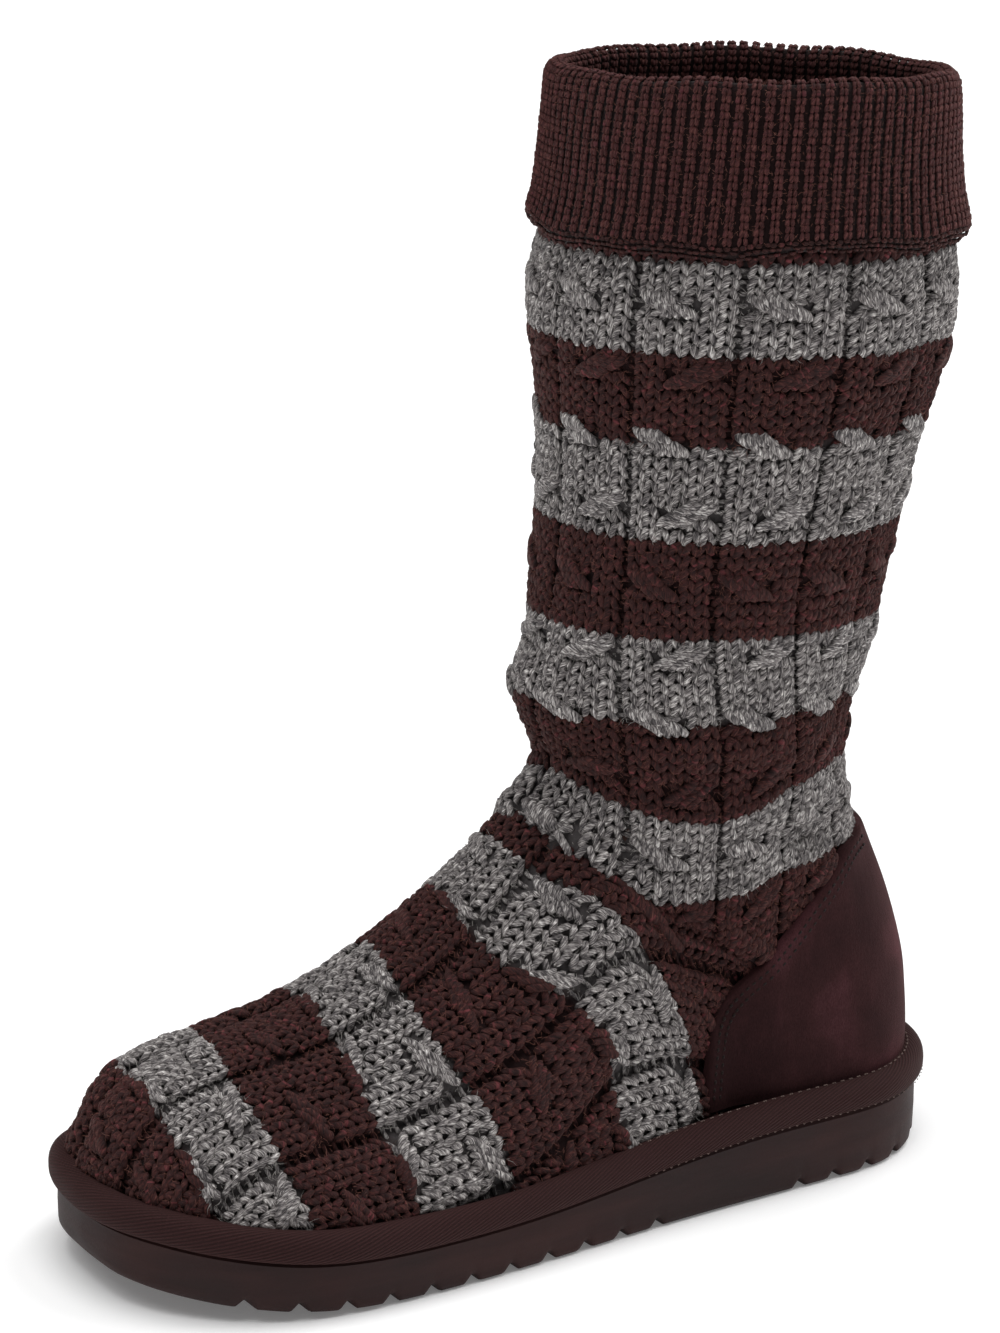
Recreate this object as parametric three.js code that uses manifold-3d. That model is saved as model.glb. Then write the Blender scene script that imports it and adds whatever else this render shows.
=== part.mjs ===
// A knitted mukluk boot for the left foot: cable-knit upper with a turned-down ribbed cuff, suede heel counter
// with an oval patch, fleece insole, fabric-bound welt and foam outsole with a saw-tooth tread.
// Millimetres, +Z up. The toe points to -Y and the outer side of the foot is +X. The boot stands on z = 0,
// and the origin is the middle of its bounding box at that height.
import * as THREE from "three";
import { mergeVertices } from "three/addons/utils/BufferGeometryUtils.js";
import Module from "manifold-3d";

const wasm = await Module();
wasm.setup();

// Driving dimensions
const SOLE_LENGTH = 264;
const BALL_WIDTH = 102;
const HEEL_THICKNESS = 20; // foam under the heel
const BALL_THICKNESS = 14; // foam under the ball
const TOE_SPRING = 8; // the toe's rise off the floor
const HEEL_BEVEL = 2.5; // the back edge's rise off the floor
const SOLE_EDGE_ROUND = 2.6; // the lower edge's rounding
const SOLE_RIM_ROUND = 0.8; // the upper edge's, under the welt
const TREAD_DEPTH = 2.6;
const TREAD_PITCH = 12.5;
const TREAD_GROOVE = 5.2; // a groove's length along the foot
const WELT_HEIGHT = 8.4;
const WELT_PROUD = 2.4; // how far the bound welt stands out past the sole
const WELT_LAP = 4.2; // how far it reaches in over the sole
const BOOT_HEIGHT = 312;
const INSTEP_HEIGHT = 96; // the vamp's height over the sole at the throat
const LEG_WIDTH = 116;
const UPPER_WALL = 4; // chunky knit with its lining
const COUNTER_THICKNESS = 2;
const COUNTER_HEIGHT = 99; // the counter's top at the back, over the floor
const PATCH_HEIGHT = 27;
const PATCH_WIDTH = 21;
const PATCH_THICKNESS = 1.6;
const PATCH_MIDDLE = 53; // the patch's middle over the floor
const CUFF_DROP = 46; // the turned-down length that shows
const CUFF_LAP = 12; // how far the cuff hangs down past the seam to the shaft
const CUFF_WALL = 3.2; // one layer of rib
const CUFF_FLARE = 1.4; // how far the hem stands out past the cuff's waist
const FOLD_DEPTH = 4; // how far down the fold at the collar is rounded
const INSOLE_THICKNESS = 5;
const GAP = 0.3; // clearance between pieces that touch

// How finely the forms are divided
const PLAN_STEPS = 30;
const FOOT_STATIONS = 20;
const FOOT_STEPS = 20;
const LEG_STEPS = 40;
const LEG_LEVELS = 20;

// The sole's plan. at: share of the sole's length from the heel. lateral, medial: half widths as shares of the
// ball width, before the ends are rounded. middle: the centre line's sideways shift, as a share of the same.
const PLAN = [
  { at: 0.0, lateral: 0.41, medial: 0.375, middle: 0.0 },
  { at: 0.18, lateral: 0.42, medial: 0.38, middle: 0.0 },
  { at: 0.4, lateral: 0.435, medial: 0.375, middle: 0.0 },
  { at: 0.6, lateral: 0.475, medial: 0.44, middle: 0.0 },
  { at: 0.72, lateral: 0.485, medial: 0.5, middle: 0.0 },
  { at: 0.86, lateral: 0.49, medial: 0.52, middle: -0.02 },
  { at: 1.0, lateral: 0.43, medial: 0.49, middle: -0.05 },
];
const HEEL_ROUND = 0.16; // share of the length that the heel's round end takes
const TOE_ROUND = 0.24;
const TOE_POWER = 2.5;
const SPRING_FROM = 0.7; // where the toe starts to rise
const SLOPE_FROM = 0.25; // where the heel's height starts to fall towards the ball
const SLOPE_TO = 0.64;
const BEVEL_SHARE = 0.05;

// The vamp. at: share of the sole's length. height: share of the instep height over the sole. fill: share of the
// plan's width. ridge: the crown's sideways shift, as a share of the ball width.
const VAMP = [
  { at: 0.3, height: 1.2, fill: 0.84, ridge: -0.02 },
  { at: 0.36, height: 1.18, fill: 0.92, ridge: -0.03 },
  { at: 0.43, height: 1.09, fill: 0.99, ridge: -0.04 },
  { at: 0.5, height: 0.96, fill: 1.0, ridge: -0.05 },
  { at: 0.56, height: 0.82, fill: 1.0, ridge: -0.06 },
  { at: 0.65, height: 0.65, fill: 1.0, ridge: -0.06 },
  { at: 0.75, height: 0.51, fill: 1.0, ridge: -0.07 },
  { at: 0.86, height: 0.44, fill: 1.0, ridge: -0.06 },
  { at: 1.0, height: 0.33, fill: 1.0, ridge: -0.04 },
];
const VAMP_POWER = 2.35; // how square the vamp's sections are
const VAMP_TIP = 0.25; // the last section's distance from the toe's very tip
const TOE_BOX_ROUND = 0.13; // share of the length that the toe box's round front takes
const TOE_BOX_POWER = 3;

// Heel, ankle and shaft. up: share of the boot's height. back, front: distance from the heel's back edge as shares
// of the sole's length. half: half width, and middle: sideways shift, as shares of the leg's width. power: how square
// the level is.
const LEG = [
  { up: 0.0, back: 0.018, front: 0.47, half: 0.305, middle: 0.012, power: 2.0 },
  { up: 0.1, back: 0.018, front: 0.47, half: 0.312, middle: 0.012, power: 2.05 },
  { up: 0.2, back: 0.038, front: 0.47, half: 0.315, middle: 0.01, power: 2.15 },
  { up: 0.28, back: 0.078, front: 0.46, half: 0.32, middle: 0.008, power: 2.2 },
  { up: 0.34, back: 0.111, front: 0.455, half: 0.335, middle: 0.005, power: 2.2 },
  { up: 0.38, back: 0.121, front: 0.462, half: 0.345, middle: 0.0, power: 2.15 },
  { up: 0.44, back: 0.112, front: 0.478, half: 0.365, middle: 0.0, power: 2.1 },
  { up: 0.5, back: 0.091, front: 0.468, half: 0.385, middle: 0.0, power: 2.05 },
  { up: 0.64, back: 0.055, front: 0.45, half: 0.44, middle: 0.0, power: 2.0 },
  { up: 0.8, back: 0.006, front: 0.46, half: 0.5, middle: 0.0, power: 2.0 },
  { up: 0.88, back: 0.019, front: 0.44, half: 0.475, middle: 0.0, power: 2.0 },
  { up: 1.0, back: 0.03, front: 0.424, half: 0.46, middle: 0.0, power: 2.0 },
];
const LEG_BACK_DEPTH = 1.08; // the back half's depth as a share of the half width

// Worked out from the driving dimensions
const CUFF_HEM = BOOT_HEIGHT - CUFF_DROP;
const SHAFT_TOP = CUFF_HEM + CUFF_LAP;
const LEVEL_STEP = SHAFT_TOP / LEG_LEVELS;

// A smooth value from a table's column, at a place along its key.
function along(table, key, column, place) {
  const last = table.length - 1;
  const t = Math.min(Math.max(place, table[0][key]), table[last][key]);
  let i = 0;
  while (i < last - 1 && t > table[i + 1][key]) i++;
  const slope = (j) => {
    const a = table[Math.max(j - 1, 0)];
    const b = table[Math.min(j + 1, last)];
    return (b[column] - a[column]) / (b[key] - a[key]);
  };
  const [a, b] = [table[i], table[i + 1]];
  const span = b[key] - a[key];
  const u = (t - a[key]) / span;
  const rise = u * u * (3 - 2 * u);
  return (
    a[column] * (1 - rise) +
    b[column] * rise +
    span * u * (1 - u) * ((1 - u) * slope(i) - u * slope(i + 1))
  );
}

const smooth = (from, to, x) => THREE.MathUtils.smoothstep(x, from, to);
const endRound = (x, power) =>
  Math.pow(Math.max(1 - Math.pow(1 - Math.min(x, 1), power), 0), 1 / power);
const yAt = (at) => (0.5 - at) * SOLE_LENGTH;
const atY = (y) => 0.5 - y / SOLE_LENGTH;

// The sole's plan at a place along the foot, grown outwards by a distance: the ends keep their round shape.
function planAt(y, grow) {
  const reach = SOLE_LENGTH / 2 + grow;
  const heelEnd = endRound((reach - y) / (HEEL_ROUND * SOLE_LENGTH + grow), 2);
  const toeEnd = endRound((reach + y) / (TOE_ROUND * SOLE_LENGTH + grow), TOE_POWER);
  const half = (column) => (along(PLAN, "at", column, atY(y)) * BALL_WIDTH + grow) * heelEnd * toeEnd;
  return {
    lateral: half("lateral"),
    medial: half("medial"),
    middle: along(PLAN, "at", "middle", atY(y)) * BALL_WIDTH,
  };
}

const spring = (at) => TOE_SPRING * Math.pow(Math.max(at - SPRING_FROM, 0) / (1 - SPRING_FROM), 2);
const bevel = (at) => HEEL_BEVEL * Math.pow(Math.max(BEVEL_SHARE - at, 0) / BEVEL_SHARE, 2);
const soleBottom = (at) => spring(at) + bevel(at);
const soleTop = (at) =>
  THREE.MathUtils.lerp(HEEL_THICKNESS, BALL_THICKNESS, smooth(SLOPE_FROM, SLOPE_TO, at)) + spring(at);

// The sole's outline, from the heel along the outer side to the toe and back along the inner side, grown outwards
// by a distance, with heights from a function of the share of the length.
function planRing(grow, heightAt) {
  const reach = SOLE_LENGTH / 2 + grow;
  return Array.from({ length: 2 * PLAN_STEPS }, (_, k) => {
    const y = reach * Math.cos((Math.PI * k) / PLAN_STEPS);
    const plan = planAt(y, grow);
    const x = plan.middle + (k <= PLAN_STEPS ? plan.lateral : -plan.medial);
    return new THREE.Vector3(x, y, heightAt(atY(y)));
  });
}

// A closed body from rows of points, each row a closed loop, with the two end rows capped by a given function
// that returns triangles of row indices.
function bodyFromLoops(loops, cap) {
  const n = loops[0].length;
  const positions = loops.flat().flatMap((p) => [p.x, p.y, p.z]);
  const index = [];
  for (let r = 0; r < loops.length - 1; r++) {
    for (let k = 0; k < n; k++) {
      const next = (k + 1) % n;
      const [a, b] = [r * n + k, r * n + next];
      index.push(a, b, b + n, a, b + n, a + n);
    }
  }
  const end = (loops.length - 1) * n;
  for (const [a, b, c] of cap(n)) {
    index.push(c, b, a);
    index.push(end + a, end + b, end + c);
  }
  const geometry = new THREE.BufferGeometry();
  geometry.setAttribute("position", new THREE.Float32BufferAttribute(positions, 3));
  geometry.setIndex(index);
  return solidOf(geometry);
}

// Triangles that close a plan ring by joining its outer side to its inner side, heel to toe.
function ladderCap(n) {
  const triangles = [];
  for (let k = 0; k < n / 2; k++) {
    const [a, b] = [k, k + 1];
    const [c, d] = [(n - k) % n, n - k - 1];
    if (a !== c) triangles.push([a, b, c]);
    if (b !== d) triangles.push([b, d, c]);
  }
  return triangles;
}

// Triangles that close a loop as a fan from its first point.
function fanCap(n) {
  return Array.from({ length: n - 2 }, (_, k) => [0, k + 1, k + 2]);
}

// A three.js geometry as a solid, turned to face out, and back again.
function solidOf(geometry) {
  const bare = new THREE.BufferGeometry().setAttribute("position", geometry.getAttribute("position"));
  if (geometry.index) bare.setIndex(geometry.index);
  const merged = mergeVertices(bare, 1e-4);
  const make = (triVerts) =>
    new wasm.Manifold(new wasm.Mesh({
      numProp: 3,
      vertProperties: new Float32Array(merged.attributes.position.array),
      triVerts,
    }));
  const triangles = new Uint32Array(merged.index.array).filter((_, i, all) => {
    const first = i - (i % 3);
    const [a, b, c] = [all[first], all[first + 1], all[first + 2]];
    return a !== b && b !== c && c !== a;
  });
  const solid = make(triangles);
  return solid.volume() >= 0 ? solid : make(triangles.reverse());
}

function geometryOf(solid) {
  const mesh = solid.getMesh();
  const geometry = new THREE.BufferGeometry();
  geometry.setAttribute("position", new THREE.BufferAttribute(mesh.vertProperties, 3));
  geometry.setIndex(new THREE.BufferAttribute(mesh.triVerts, 1));
  const flat = geometry.toNonIndexed();
  flat.computeVertexNormals();
  return flat;
}

// A point of a surface, moved along its own normal.
function grown(surface, u, v, grow) {
  const [turn, move] = [1e-3, 0.1];
  const point = surface(u, v);
  const du = surface(u + turn, v).sub(surface(u - turn, v));
  const dv = surface(u, v + move).sub(surface(u, v - move));
  return point.addScaledVector(du.cross(dv).normalize(), grow);
}

// The vamp's surface: turn from 0 at the outer edge over the crown to 1 at the inner edge, at a distance ahead of
// the boot's middle.
function vampSurface(turn, ahead) {
  const y = -ahead;
  const at = atY(y);
  const inset = WELT_LAP + GAP;
  const tip = yAt(1) + inset;
  const plan = planAt(y, -inset);
  const angle = Math.PI * turn;
  const half = (angle < Math.PI / 2 ? plan.lateral : plan.medial) * along(VAMP, "at", "fill", at);
  const rounded = (x) => Math.sign(x) * Math.pow(Math.abs(x), 2 / VAMP_POWER);
  const end = endRound((y - tip) / (TOE_BOX_ROUND * SOLE_LENGTH), TOE_BOX_POWER);
  const height = along(VAMP, "at", "height", at) * INSTEP_HEIGHT * end;
  const crown = along(VAMP, "at", "ridge", at) * BALL_WIDTH * end;
  return new THREE.Vector3(
    plan.middle + half * rounded(Math.cos(angle)) + crown * Math.pow(Math.sin(angle), 2),
    y,
    soleTop(at) + height * Math.pow(Math.max(Math.sin(angle), 0), 2 / VAMP_POWER),
  );
}

// The surface of heel, ankle and shaft: turn once round from the outer side by the back, at a height.
function legSurface(turn, height) {
  const up = height / BOOT_HEIGHT;
  const half = along(LEG, "up", "half", up) * LEG_WIDTH;
  const back = along(LEG, "up", "back", up) * SOLE_LENGTH;
  const front = along(LEG, "up", "front", up) * SOLE_LENGTH;
  const power = 2 / along(LEG, "up", "power", up);
  const angle = 2 * Math.PI * turn;
  const rounded = (x) => Math.sign(x) * Math.pow(Math.abs(x), power);
  const middle = back + half * LEG_BACK_DEPTH;
  const depth = Math.sin(angle) >= 0 ? middle - back : front - middle;
  return new THREE.Vector3(
    along(LEG, "up", "middle", up) * LEG_WIDTH + half * rounded(Math.cos(angle)),
    yAt(0) - middle + depth * rounded(Math.sin(angle)),
    height,
  );
}

// The vamp as a closed form, grown by a distance, with a skirt that reaches below the sole's top.
function vampForm(grow) {
  const skirt = 1.5 * WELT_HEIGHT;
  const loops = [];
  for (let s = 0; s <= FOOT_STATIONS; s++) {
    const share = Math.sin((Math.PI / 2) * (s / FOOT_STATIONS));
    const y = THREE.MathUtils.lerp(yAt(VAMP[0].at), yAt(1) + WELT_LAP + GAP + VAMP_TIP, share);
    const loop = [];
    for (let k = 0; k <= FOOT_STEPS; k++) {
      const turn = THREE.MathUtils.clamp(k / FOOT_STEPS, 0.002, 0.998);
      loop.push(grown(vampSurface, turn, -y, grow));
    }
    const [first, last] = [loop[0], loop[loop.length - 1]];
    loop.push(new THREE.Vector3(last.x, last.y, soleTop(atY(y)) - skirt));
    loop.push(new THREE.Vector3(first.x, first.y, soleTop(atY(y)) - skirt));
    loops.push(loop);
  }
  return bodyFromLoops(loops, fanCap);
}

// Heel, ankle and shaft as a closed form between two heights, grown by a distance.
function legForm(grow, from, to, levels = LEG_LEVELS) {
  const loops = [];
  for (let r = 0; r <= levels; r++) {
    const height = THREE.MathUtils.lerp(from, to, r / levels);
    loops.push(legLoop(grow, height));
  }
  return bodyFromLoops(loops, fanCap);
}

function legLoop(grow, height) {
  const loop = [];
  for (let k = 0; k < LEG_STEPS; k++) {
    const p = grown(legSurface, k / LEG_STEPS, height, grow);
    loop.push(new THREE.Vector3(p.x, p.y, height));
  }
  return loop;
}

// Everything under the sole's top surface, raised by a distance.
function underSole(raise) {
  const reach = 0.15 * SOLE_LENGTH;
  const depth = 3 * HEEL_THICKNESS;
  const profile = new THREE.Shape();
  profile.moveTo(yAt(0) + reach, -depth);
  profile.lineTo(yAt(0) + reach, soleTop(0) + raise);
  for (let k = 0; k <= PLAN_STEPS; k++) {
    const at = (1 - Math.cos((Math.PI * k) / PLAN_STEPS)) / 2;
    profile.lineTo(yAt(at), soleTop(at) + raise);
  }
  profile.lineTo(yAt(1) - reach, soleTop(1) + raise);
  profile.lineTo(yAt(1) - reach, -depth);
  return sideCut(profile, 2 * LEG_WIDTH);
}

// A side-view outline, in y and z, as a solid across the boot.
function sideCut(shape, width) {
  const geometry = new THREE.ExtrudeGeometry(shape, { depth: width, bevelEnabled: false, steps: 1 });
  geometry.applyMatrix4(new THREE.Matrix4().makeBasis(
    new THREE.Vector3(0, 1, 0), new THREE.Vector3(0, 0, 1), new THREE.Vector3(1, 0, 0)));
  geometry.translate(-width / 2, 0, 0);
  return solidOf(geometry);
}

// The foam outsole: stacked plan rings, with saw-tooth grooves cut across its underside.
function outsole() {
  const rings = [
    planRing(-SOLE_EDGE_ROUND, (at) => soleBottom(at)),
    planRing(-SOLE_EDGE_ROUND * 0.3, (at) => soleBottom(at) + SOLE_EDGE_ROUND * 0.3),
    planRing(0, (at) => soleBottom(at) + SOLE_EDGE_ROUND),
    planRing(0, (at) => soleTop(at) - SOLE_RIM_ROUND),
    planRing(-SOLE_RIM_ROUND, (at) => soleTop(at)),
  ];
  let body = bodyFromLoops(rings, ladderCap);
  for (const at of treadShares()) body = body.subtract(treadGroove(at));
  return body;
}

// One groove of the tread, steep towards the heel and sloping towards the toe.
function treadGroove(at) {
  const [y, z] = [yAt(at), soleBottom(at)];
  const below = z - 2 * TREAD_DEPTH;
  const half = TREAD_GROOVE / 2;
  const tooth = new THREE.Shape();
  tooth.moveTo(y + half, below);
  tooth.lineTo(y + half, z);
  tooth.lineTo(y + half * 0.4, z + TREAD_DEPTH * 0.85);
  tooth.lineTo(y - half * 0.1, z + TREAD_DEPTH);
  tooth.lineTo(y - half, z);
  tooth.lineTo(y - half, below);
  return sideCut(tooth, 1.5 * BALL_WIDTH);
}

// Where the grooves lie: an even pitch under the heel and the forefoot, with a plain waist between.
function treadShares() {
  const shares = [];
  const [heelFrom, heelTo, foreFrom, foreTo] = [0.05, 0.27, 0.43, 0.93];
  const step = TREAD_PITCH / SOLE_LENGTH;
  for (let at = heelFrom; at <= heelTo; at += step) shares.push(at);
  for (let at = foreFrom; at <= foreTo; at += step) shares.push(at);
  return shares;
}

// The bound welt: a rounded band that follows the sole's edge and stands on its top.
function welt() {
  const profile = [
    { out: -WELT_LAP, up: 0 },
    { out: WELT_PROUD * 0.35, up: 0 },
    { out: WELT_PROUD, up: 0.22 },
    { out: WELT_PROUD, up: 0.6 },
    { out: WELT_PROUD * 0.4, up: 0.88 },
    { out: -WELT_LAP * 0.4, up: 1 },
    { out: -WELT_LAP, up: 0.94 },
  ];
  const rings = profile.map(({ out, up }) => planRing(out, (at) => soleTop(at) + GAP + up * WELT_HEIGHT));
  return bodyFromLoops([...rings, rings[0]], () => []);
}

// The fleece insole: a plate on the sole, inside the upper's wall, with a softened top edge.
function insole() {
  const edge = -(WELT_LAP + UPPER_WALL + 2 * GAP);
  const profile = [
    { out: edge, up: 0 },
    { out: edge, up: 0.75 },
    { out: edge - INSOLE_THICKNESS / 4, up: 1 },
  ];
  const rings = profile.map(({ out, up }) => planRing(out, (at) => soleTop(at) + GAP + up * INSOLE_THICKNESS));
  return bodyFromLoops(rings, ladderCap).intersect(bootForm(-(UPPER_WALL + GAP), BOOT_HEIGHT / 2));
}

// The whole knitted form, grown by a distance, from under the sole's top to a height.
function bootForm(grow, top) {
  return legForm(grow, 0, top).add(vampForm(grow));
}

// The knitted upper: one hollow wall from the sole to the shaft's top, open above and underneath.
function upper() {
  return bootForm(0, SHAFT_TOP)
    .subtract(bootForm(-UPPER_WALL, SHAFT_TOP + 1))
    .subtract(underSole(GAP))
    .subtract(weltRoom());
}

// The heel counter's side-view outline, from the sole up its front edge to the back of the ankle.
function counterOutline() {
  const reach = 0.1 * SOLE_LENGTH;
  const shape = new THREE.Shape();
  shape.moveTo(yAt(0) + reach, 0);
  shape.lineTo(yAt(0.35), 0);
  shape.lineTo(yAt(0.342), COUNTER_HEIGHT * 0.44);
  shape.quadraticCurveTo(yAt(0.34), COUNTER_HEIGHT * 0.56, yAt(0.28), COUNTER_HEIGHT * 0.67);
  shape.lineTo(yAt(0.182), COUNTER_HEIGHT * 0.96);
  shape.quadraticCurveTo(yAt(0.17), COUNTER_HEIGHT, yAt(0.13), COUNTER_HEIGHT);
  shape.lineTo(yAt(0) + reach, COUNTER_HEIGHT);
  return shape;
}

// The suede heel counter: a shell over the upper's heel, down to the welt.
function heelCounter() {
  const top = COUNTER_HEIGHT + 2 * LEVEL_STEP;
  return bootForm(GAP + COUNTER_THICKNESS, top)
    .subtract(bootForm(GAP, top + LEVEL_STEP))
    .intersect(sideCut(counterOutline(), 2 * LEG_WIDTH))
    .subtract(underSole(WELT_HEIGHT + 2 * GAP));
}

// The room that the welt takes, from its inner edge outwards.
function weltRoom() {
  const edge = -(WELT_LAP + GAP);
  const inside = bodyFromLoops([planRing(edge, () => -1), planRing(edge, () => BOOT_HEIGHT)], ladderCap);
  return underSole(WELT_HEIGHT + 2 * GAP).subtract(inside);
}

// The oval patch on the counter's back.
function heelPatch() {
  const inner = 2 * GAP + COUNTER_THICKNESS;
  const reach = 0.1 * SOLE_LENGTH;
  const oval = new THREE.Shape().absellipse(0, 0, PATCH_WIDTH / 2, PATCH_HEIGHT / 2, 0, 2 * Math.PI, false, 0);
  const geometry = new THREE.ExtrudeGeometry(oval, { depth: 2 * reach, bevelEnabled: false, curveSegments: 8 });
  geometry.rotateX(Math.PI / 2);
  const sideways = along(LEG, "up", "middle", PATCH_MIDDLE / BOOT_HEIGHT) * LEG_WIDTH;
  geometry.translate(sideways, yAt(0) + reach, PATCH_MIDDLE);
  return bootForm(inner + PATCH_THICKNESS, COUNTER_HEIGHT)
    .subtract(bootForm(inner, COUNTER_HEIGHT + LEVEL_STEP))
    .intersect(solidOf(geometry));
}

// The ribbed cuff: it stands on the shaft, folds over at the collar and hangs down outside, past the shaft's top.
function cuff() {
  const inner = -CUFF_WALL;
  const outside = GAP + CUFF_WALL;
  const fold = BOOT_HEIGHT;
  const seat = SHAFT_TOP + GAP;
  const profile = [
    { out: inner, z: seat },
    { out: inner, z: fold - 0.8 * FOLD_DEPTH },
    { out: inner + 0.2 * (outside - inner), z: fold - 0.23 * FOLD_DEPTH },
    { out: (inner + outside) / 2, z: fold },
    { out: outside - 0.2 * (outside - inner), z: fold - 0.23 * FOLD_DEPTH },
    { out: outside, z: fold - FOLD_DEPTH },
    { out: outside + 0.15 * CUFF_FLARE, z: (CUFF_HEM + fold) / 2 },
    { out: outside + 0.3 * CUFF_FLARE, z: SHAFT_TOP },
    { out: outside + CUFF_FLARE, z: CUFF_HEM + CUFF_LAP / 4 },
    { out: outside + 0.6 * CUFF_FLARE, z: CUFF_HEM },
    { out: inner, z: CUFF_HEM },
    { out: inner, z: seat },
  ];
  const rings = profile.map(({ out, z }) => legLoop(out, z));
  return bodyFromLoops([...rings, rings[0]], () => []).subtract(legForm(GAP, 0, seat));
}

const MATERIALS = {
  knit: new THREE.MeshStandardMaterial({ color: 0x5b4a48, roughness: 0.95, metalness: 0 }),
  rib: new THREE.MeshStandardMaterial({ color: 0x3d2324, roughness: 0.95, metalness: 0 }),
  suede: new THREE.MeshStandardMaterial({ color: 0x2c1719, roughness: 0.9, metalness: 0 }),
  patch: new THREE.MeshStandardMaterial({ color: 0x5a3428, roughness: 0.6, metalness: 0 }),
  binding: new THREE.MeshStandardMaterial({ color: 0x3a2426, roughness: 0.85, metalness: 0 }),
  fleece: new THREE.MeshStandardMaterial({ color: 0xb9aa98, roughness: 1, metalness: 0 }),
  foam: new THREE.MeshStandardMaterial({ color: 0x241719, roughness: 0.75, metalness: 0 }),
};

const boot = new THREE.Group();
function addPiece(name, solid, material) {
  const mesh = new THREE.Mesh(geometryOf(solid), material);
  mesh.name = name;
  boot.add(mesh);
}
addPiece("outsole", outsole(), MATERIALS.foam);
addPiece("welt_binding", welt(), MATERIALS.binding);
addPiece("insole", insole(), MATERIALS.fleece);
addPiece("upper_knit", upper(), MATERIALS.knit);
addPiece("heel_counter", heelCounter(), MATERIALS.suede);
addPiece("heel_patch", heelPatch(), MATERIALS.patch);
addPiece("ribbed_cuff", cuff(), MATERIALS.rib);

// The origin: the middle of the whole, on the floor.
const bounds = new THREE.Box3().setFromObject(boot);
const middle = bounds.getCenter(new THREE.Vector3());
boot.position.set(-middle.x, -middle.y, -bounds.min.z);

export default boot;
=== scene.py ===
import math

import bpy
import numpy as np
from mathutils import Matrix, Vector
from mathutils.bvhtree import BVHTree


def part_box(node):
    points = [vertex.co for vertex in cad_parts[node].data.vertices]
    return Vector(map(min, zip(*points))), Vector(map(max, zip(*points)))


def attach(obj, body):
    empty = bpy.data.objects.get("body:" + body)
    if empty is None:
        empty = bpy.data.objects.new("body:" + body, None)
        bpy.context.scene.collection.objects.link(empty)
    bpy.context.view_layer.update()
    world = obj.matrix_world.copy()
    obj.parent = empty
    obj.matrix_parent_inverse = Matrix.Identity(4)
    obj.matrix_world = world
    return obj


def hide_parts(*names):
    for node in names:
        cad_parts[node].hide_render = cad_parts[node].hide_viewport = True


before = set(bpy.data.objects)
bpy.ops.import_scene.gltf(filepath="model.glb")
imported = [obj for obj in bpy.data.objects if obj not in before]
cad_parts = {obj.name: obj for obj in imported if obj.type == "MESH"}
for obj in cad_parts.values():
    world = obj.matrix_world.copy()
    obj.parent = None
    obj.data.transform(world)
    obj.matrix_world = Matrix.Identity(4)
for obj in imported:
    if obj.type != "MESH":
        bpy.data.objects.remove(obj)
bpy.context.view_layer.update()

MM = 0.001
rng = np.random.default_rng(11)

# The camera, worked out from the boot's outline in a 1000 by 1333 picture
PICTURE = (1000, 1333)
CAMERA = {
    "azimuth": 56.91, "elevation": 15.09, "roll": 0.92,
    "distance": 947.5, "focal_pixels": 3494, "centre": (522.3, 673.8), "target": (0, 0, 150),
}

# The knit of the shaft: heights of its stripe edges, counted down from the cuff's hem
SHAFT_EDGES = (265, 240.5, 216, 190, 163.5, 139.5, 112, 86)
BAND_ROWS = 8
ROW = 3.1
PANELS = 12
COLUMNS = 6  # stitch columns in a panel
GROOVE = 0.44  # a groove's width, in columns
VAMP_SQUEEZE = 0.965  # the vamp's columns stand closer, so that its grooves are wider
PANEL = COLUMNS + GROOVE
FIRST_GROOVE = 95  # a groove's angle, from +X towards -Y
# How far the two lowest edges of the shaft's stripes rise over their heights, by angle from the side,
# front positive
EDGE_ANGLES = (-90, -60, -34, -20, -4, 10, 23, 44, 60, 71, 84, 90)
EDGE_RISE = (8, 10, 10, 8.6, 6, 1.3, -1.5, 0.1, 3.7, 6.6, 9.2, 9.5)
LAST_RISE = (14, 13, 11, 8.8, 7.2, 3.4, 2.2, 2, 3.5, 5, 6.5, 7)
GATHER = 14  # how many degrees the panels move to the back of the ankle
FIRST_CROSSING = 3.6  # row of the braid's first crossing
CROSSING_ROWS = 12  # rows from one crossing to the next of its kind
CROSSING_REACH = 1.0  # rows over which a crossing strand moves, each way

# Soft folds of the shaft: angle, height, half width, half height, and how far the surface moves out
FOLDS = (
    (108, 143, 30, 8, 2.6), (112, 124, 26, 5.5, -2.8), (98, 113, 26, 6, 1.8), (-20, 103, 9, 5.5, -4.5),
    (-32, 113, 13, 5, 2.6), (20, 121, 26, 4, -1.6), (30, 131, 30, 4.5, 1.2), (60, 168, 24, 4, -0.9),
    (-5, 216, 30, 6, -0.8), (190, 118, 30, 6, -2.0), (200, 134, 30, 7, 1.6), (250, 107, 20, 6, -2.2),
)

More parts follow.
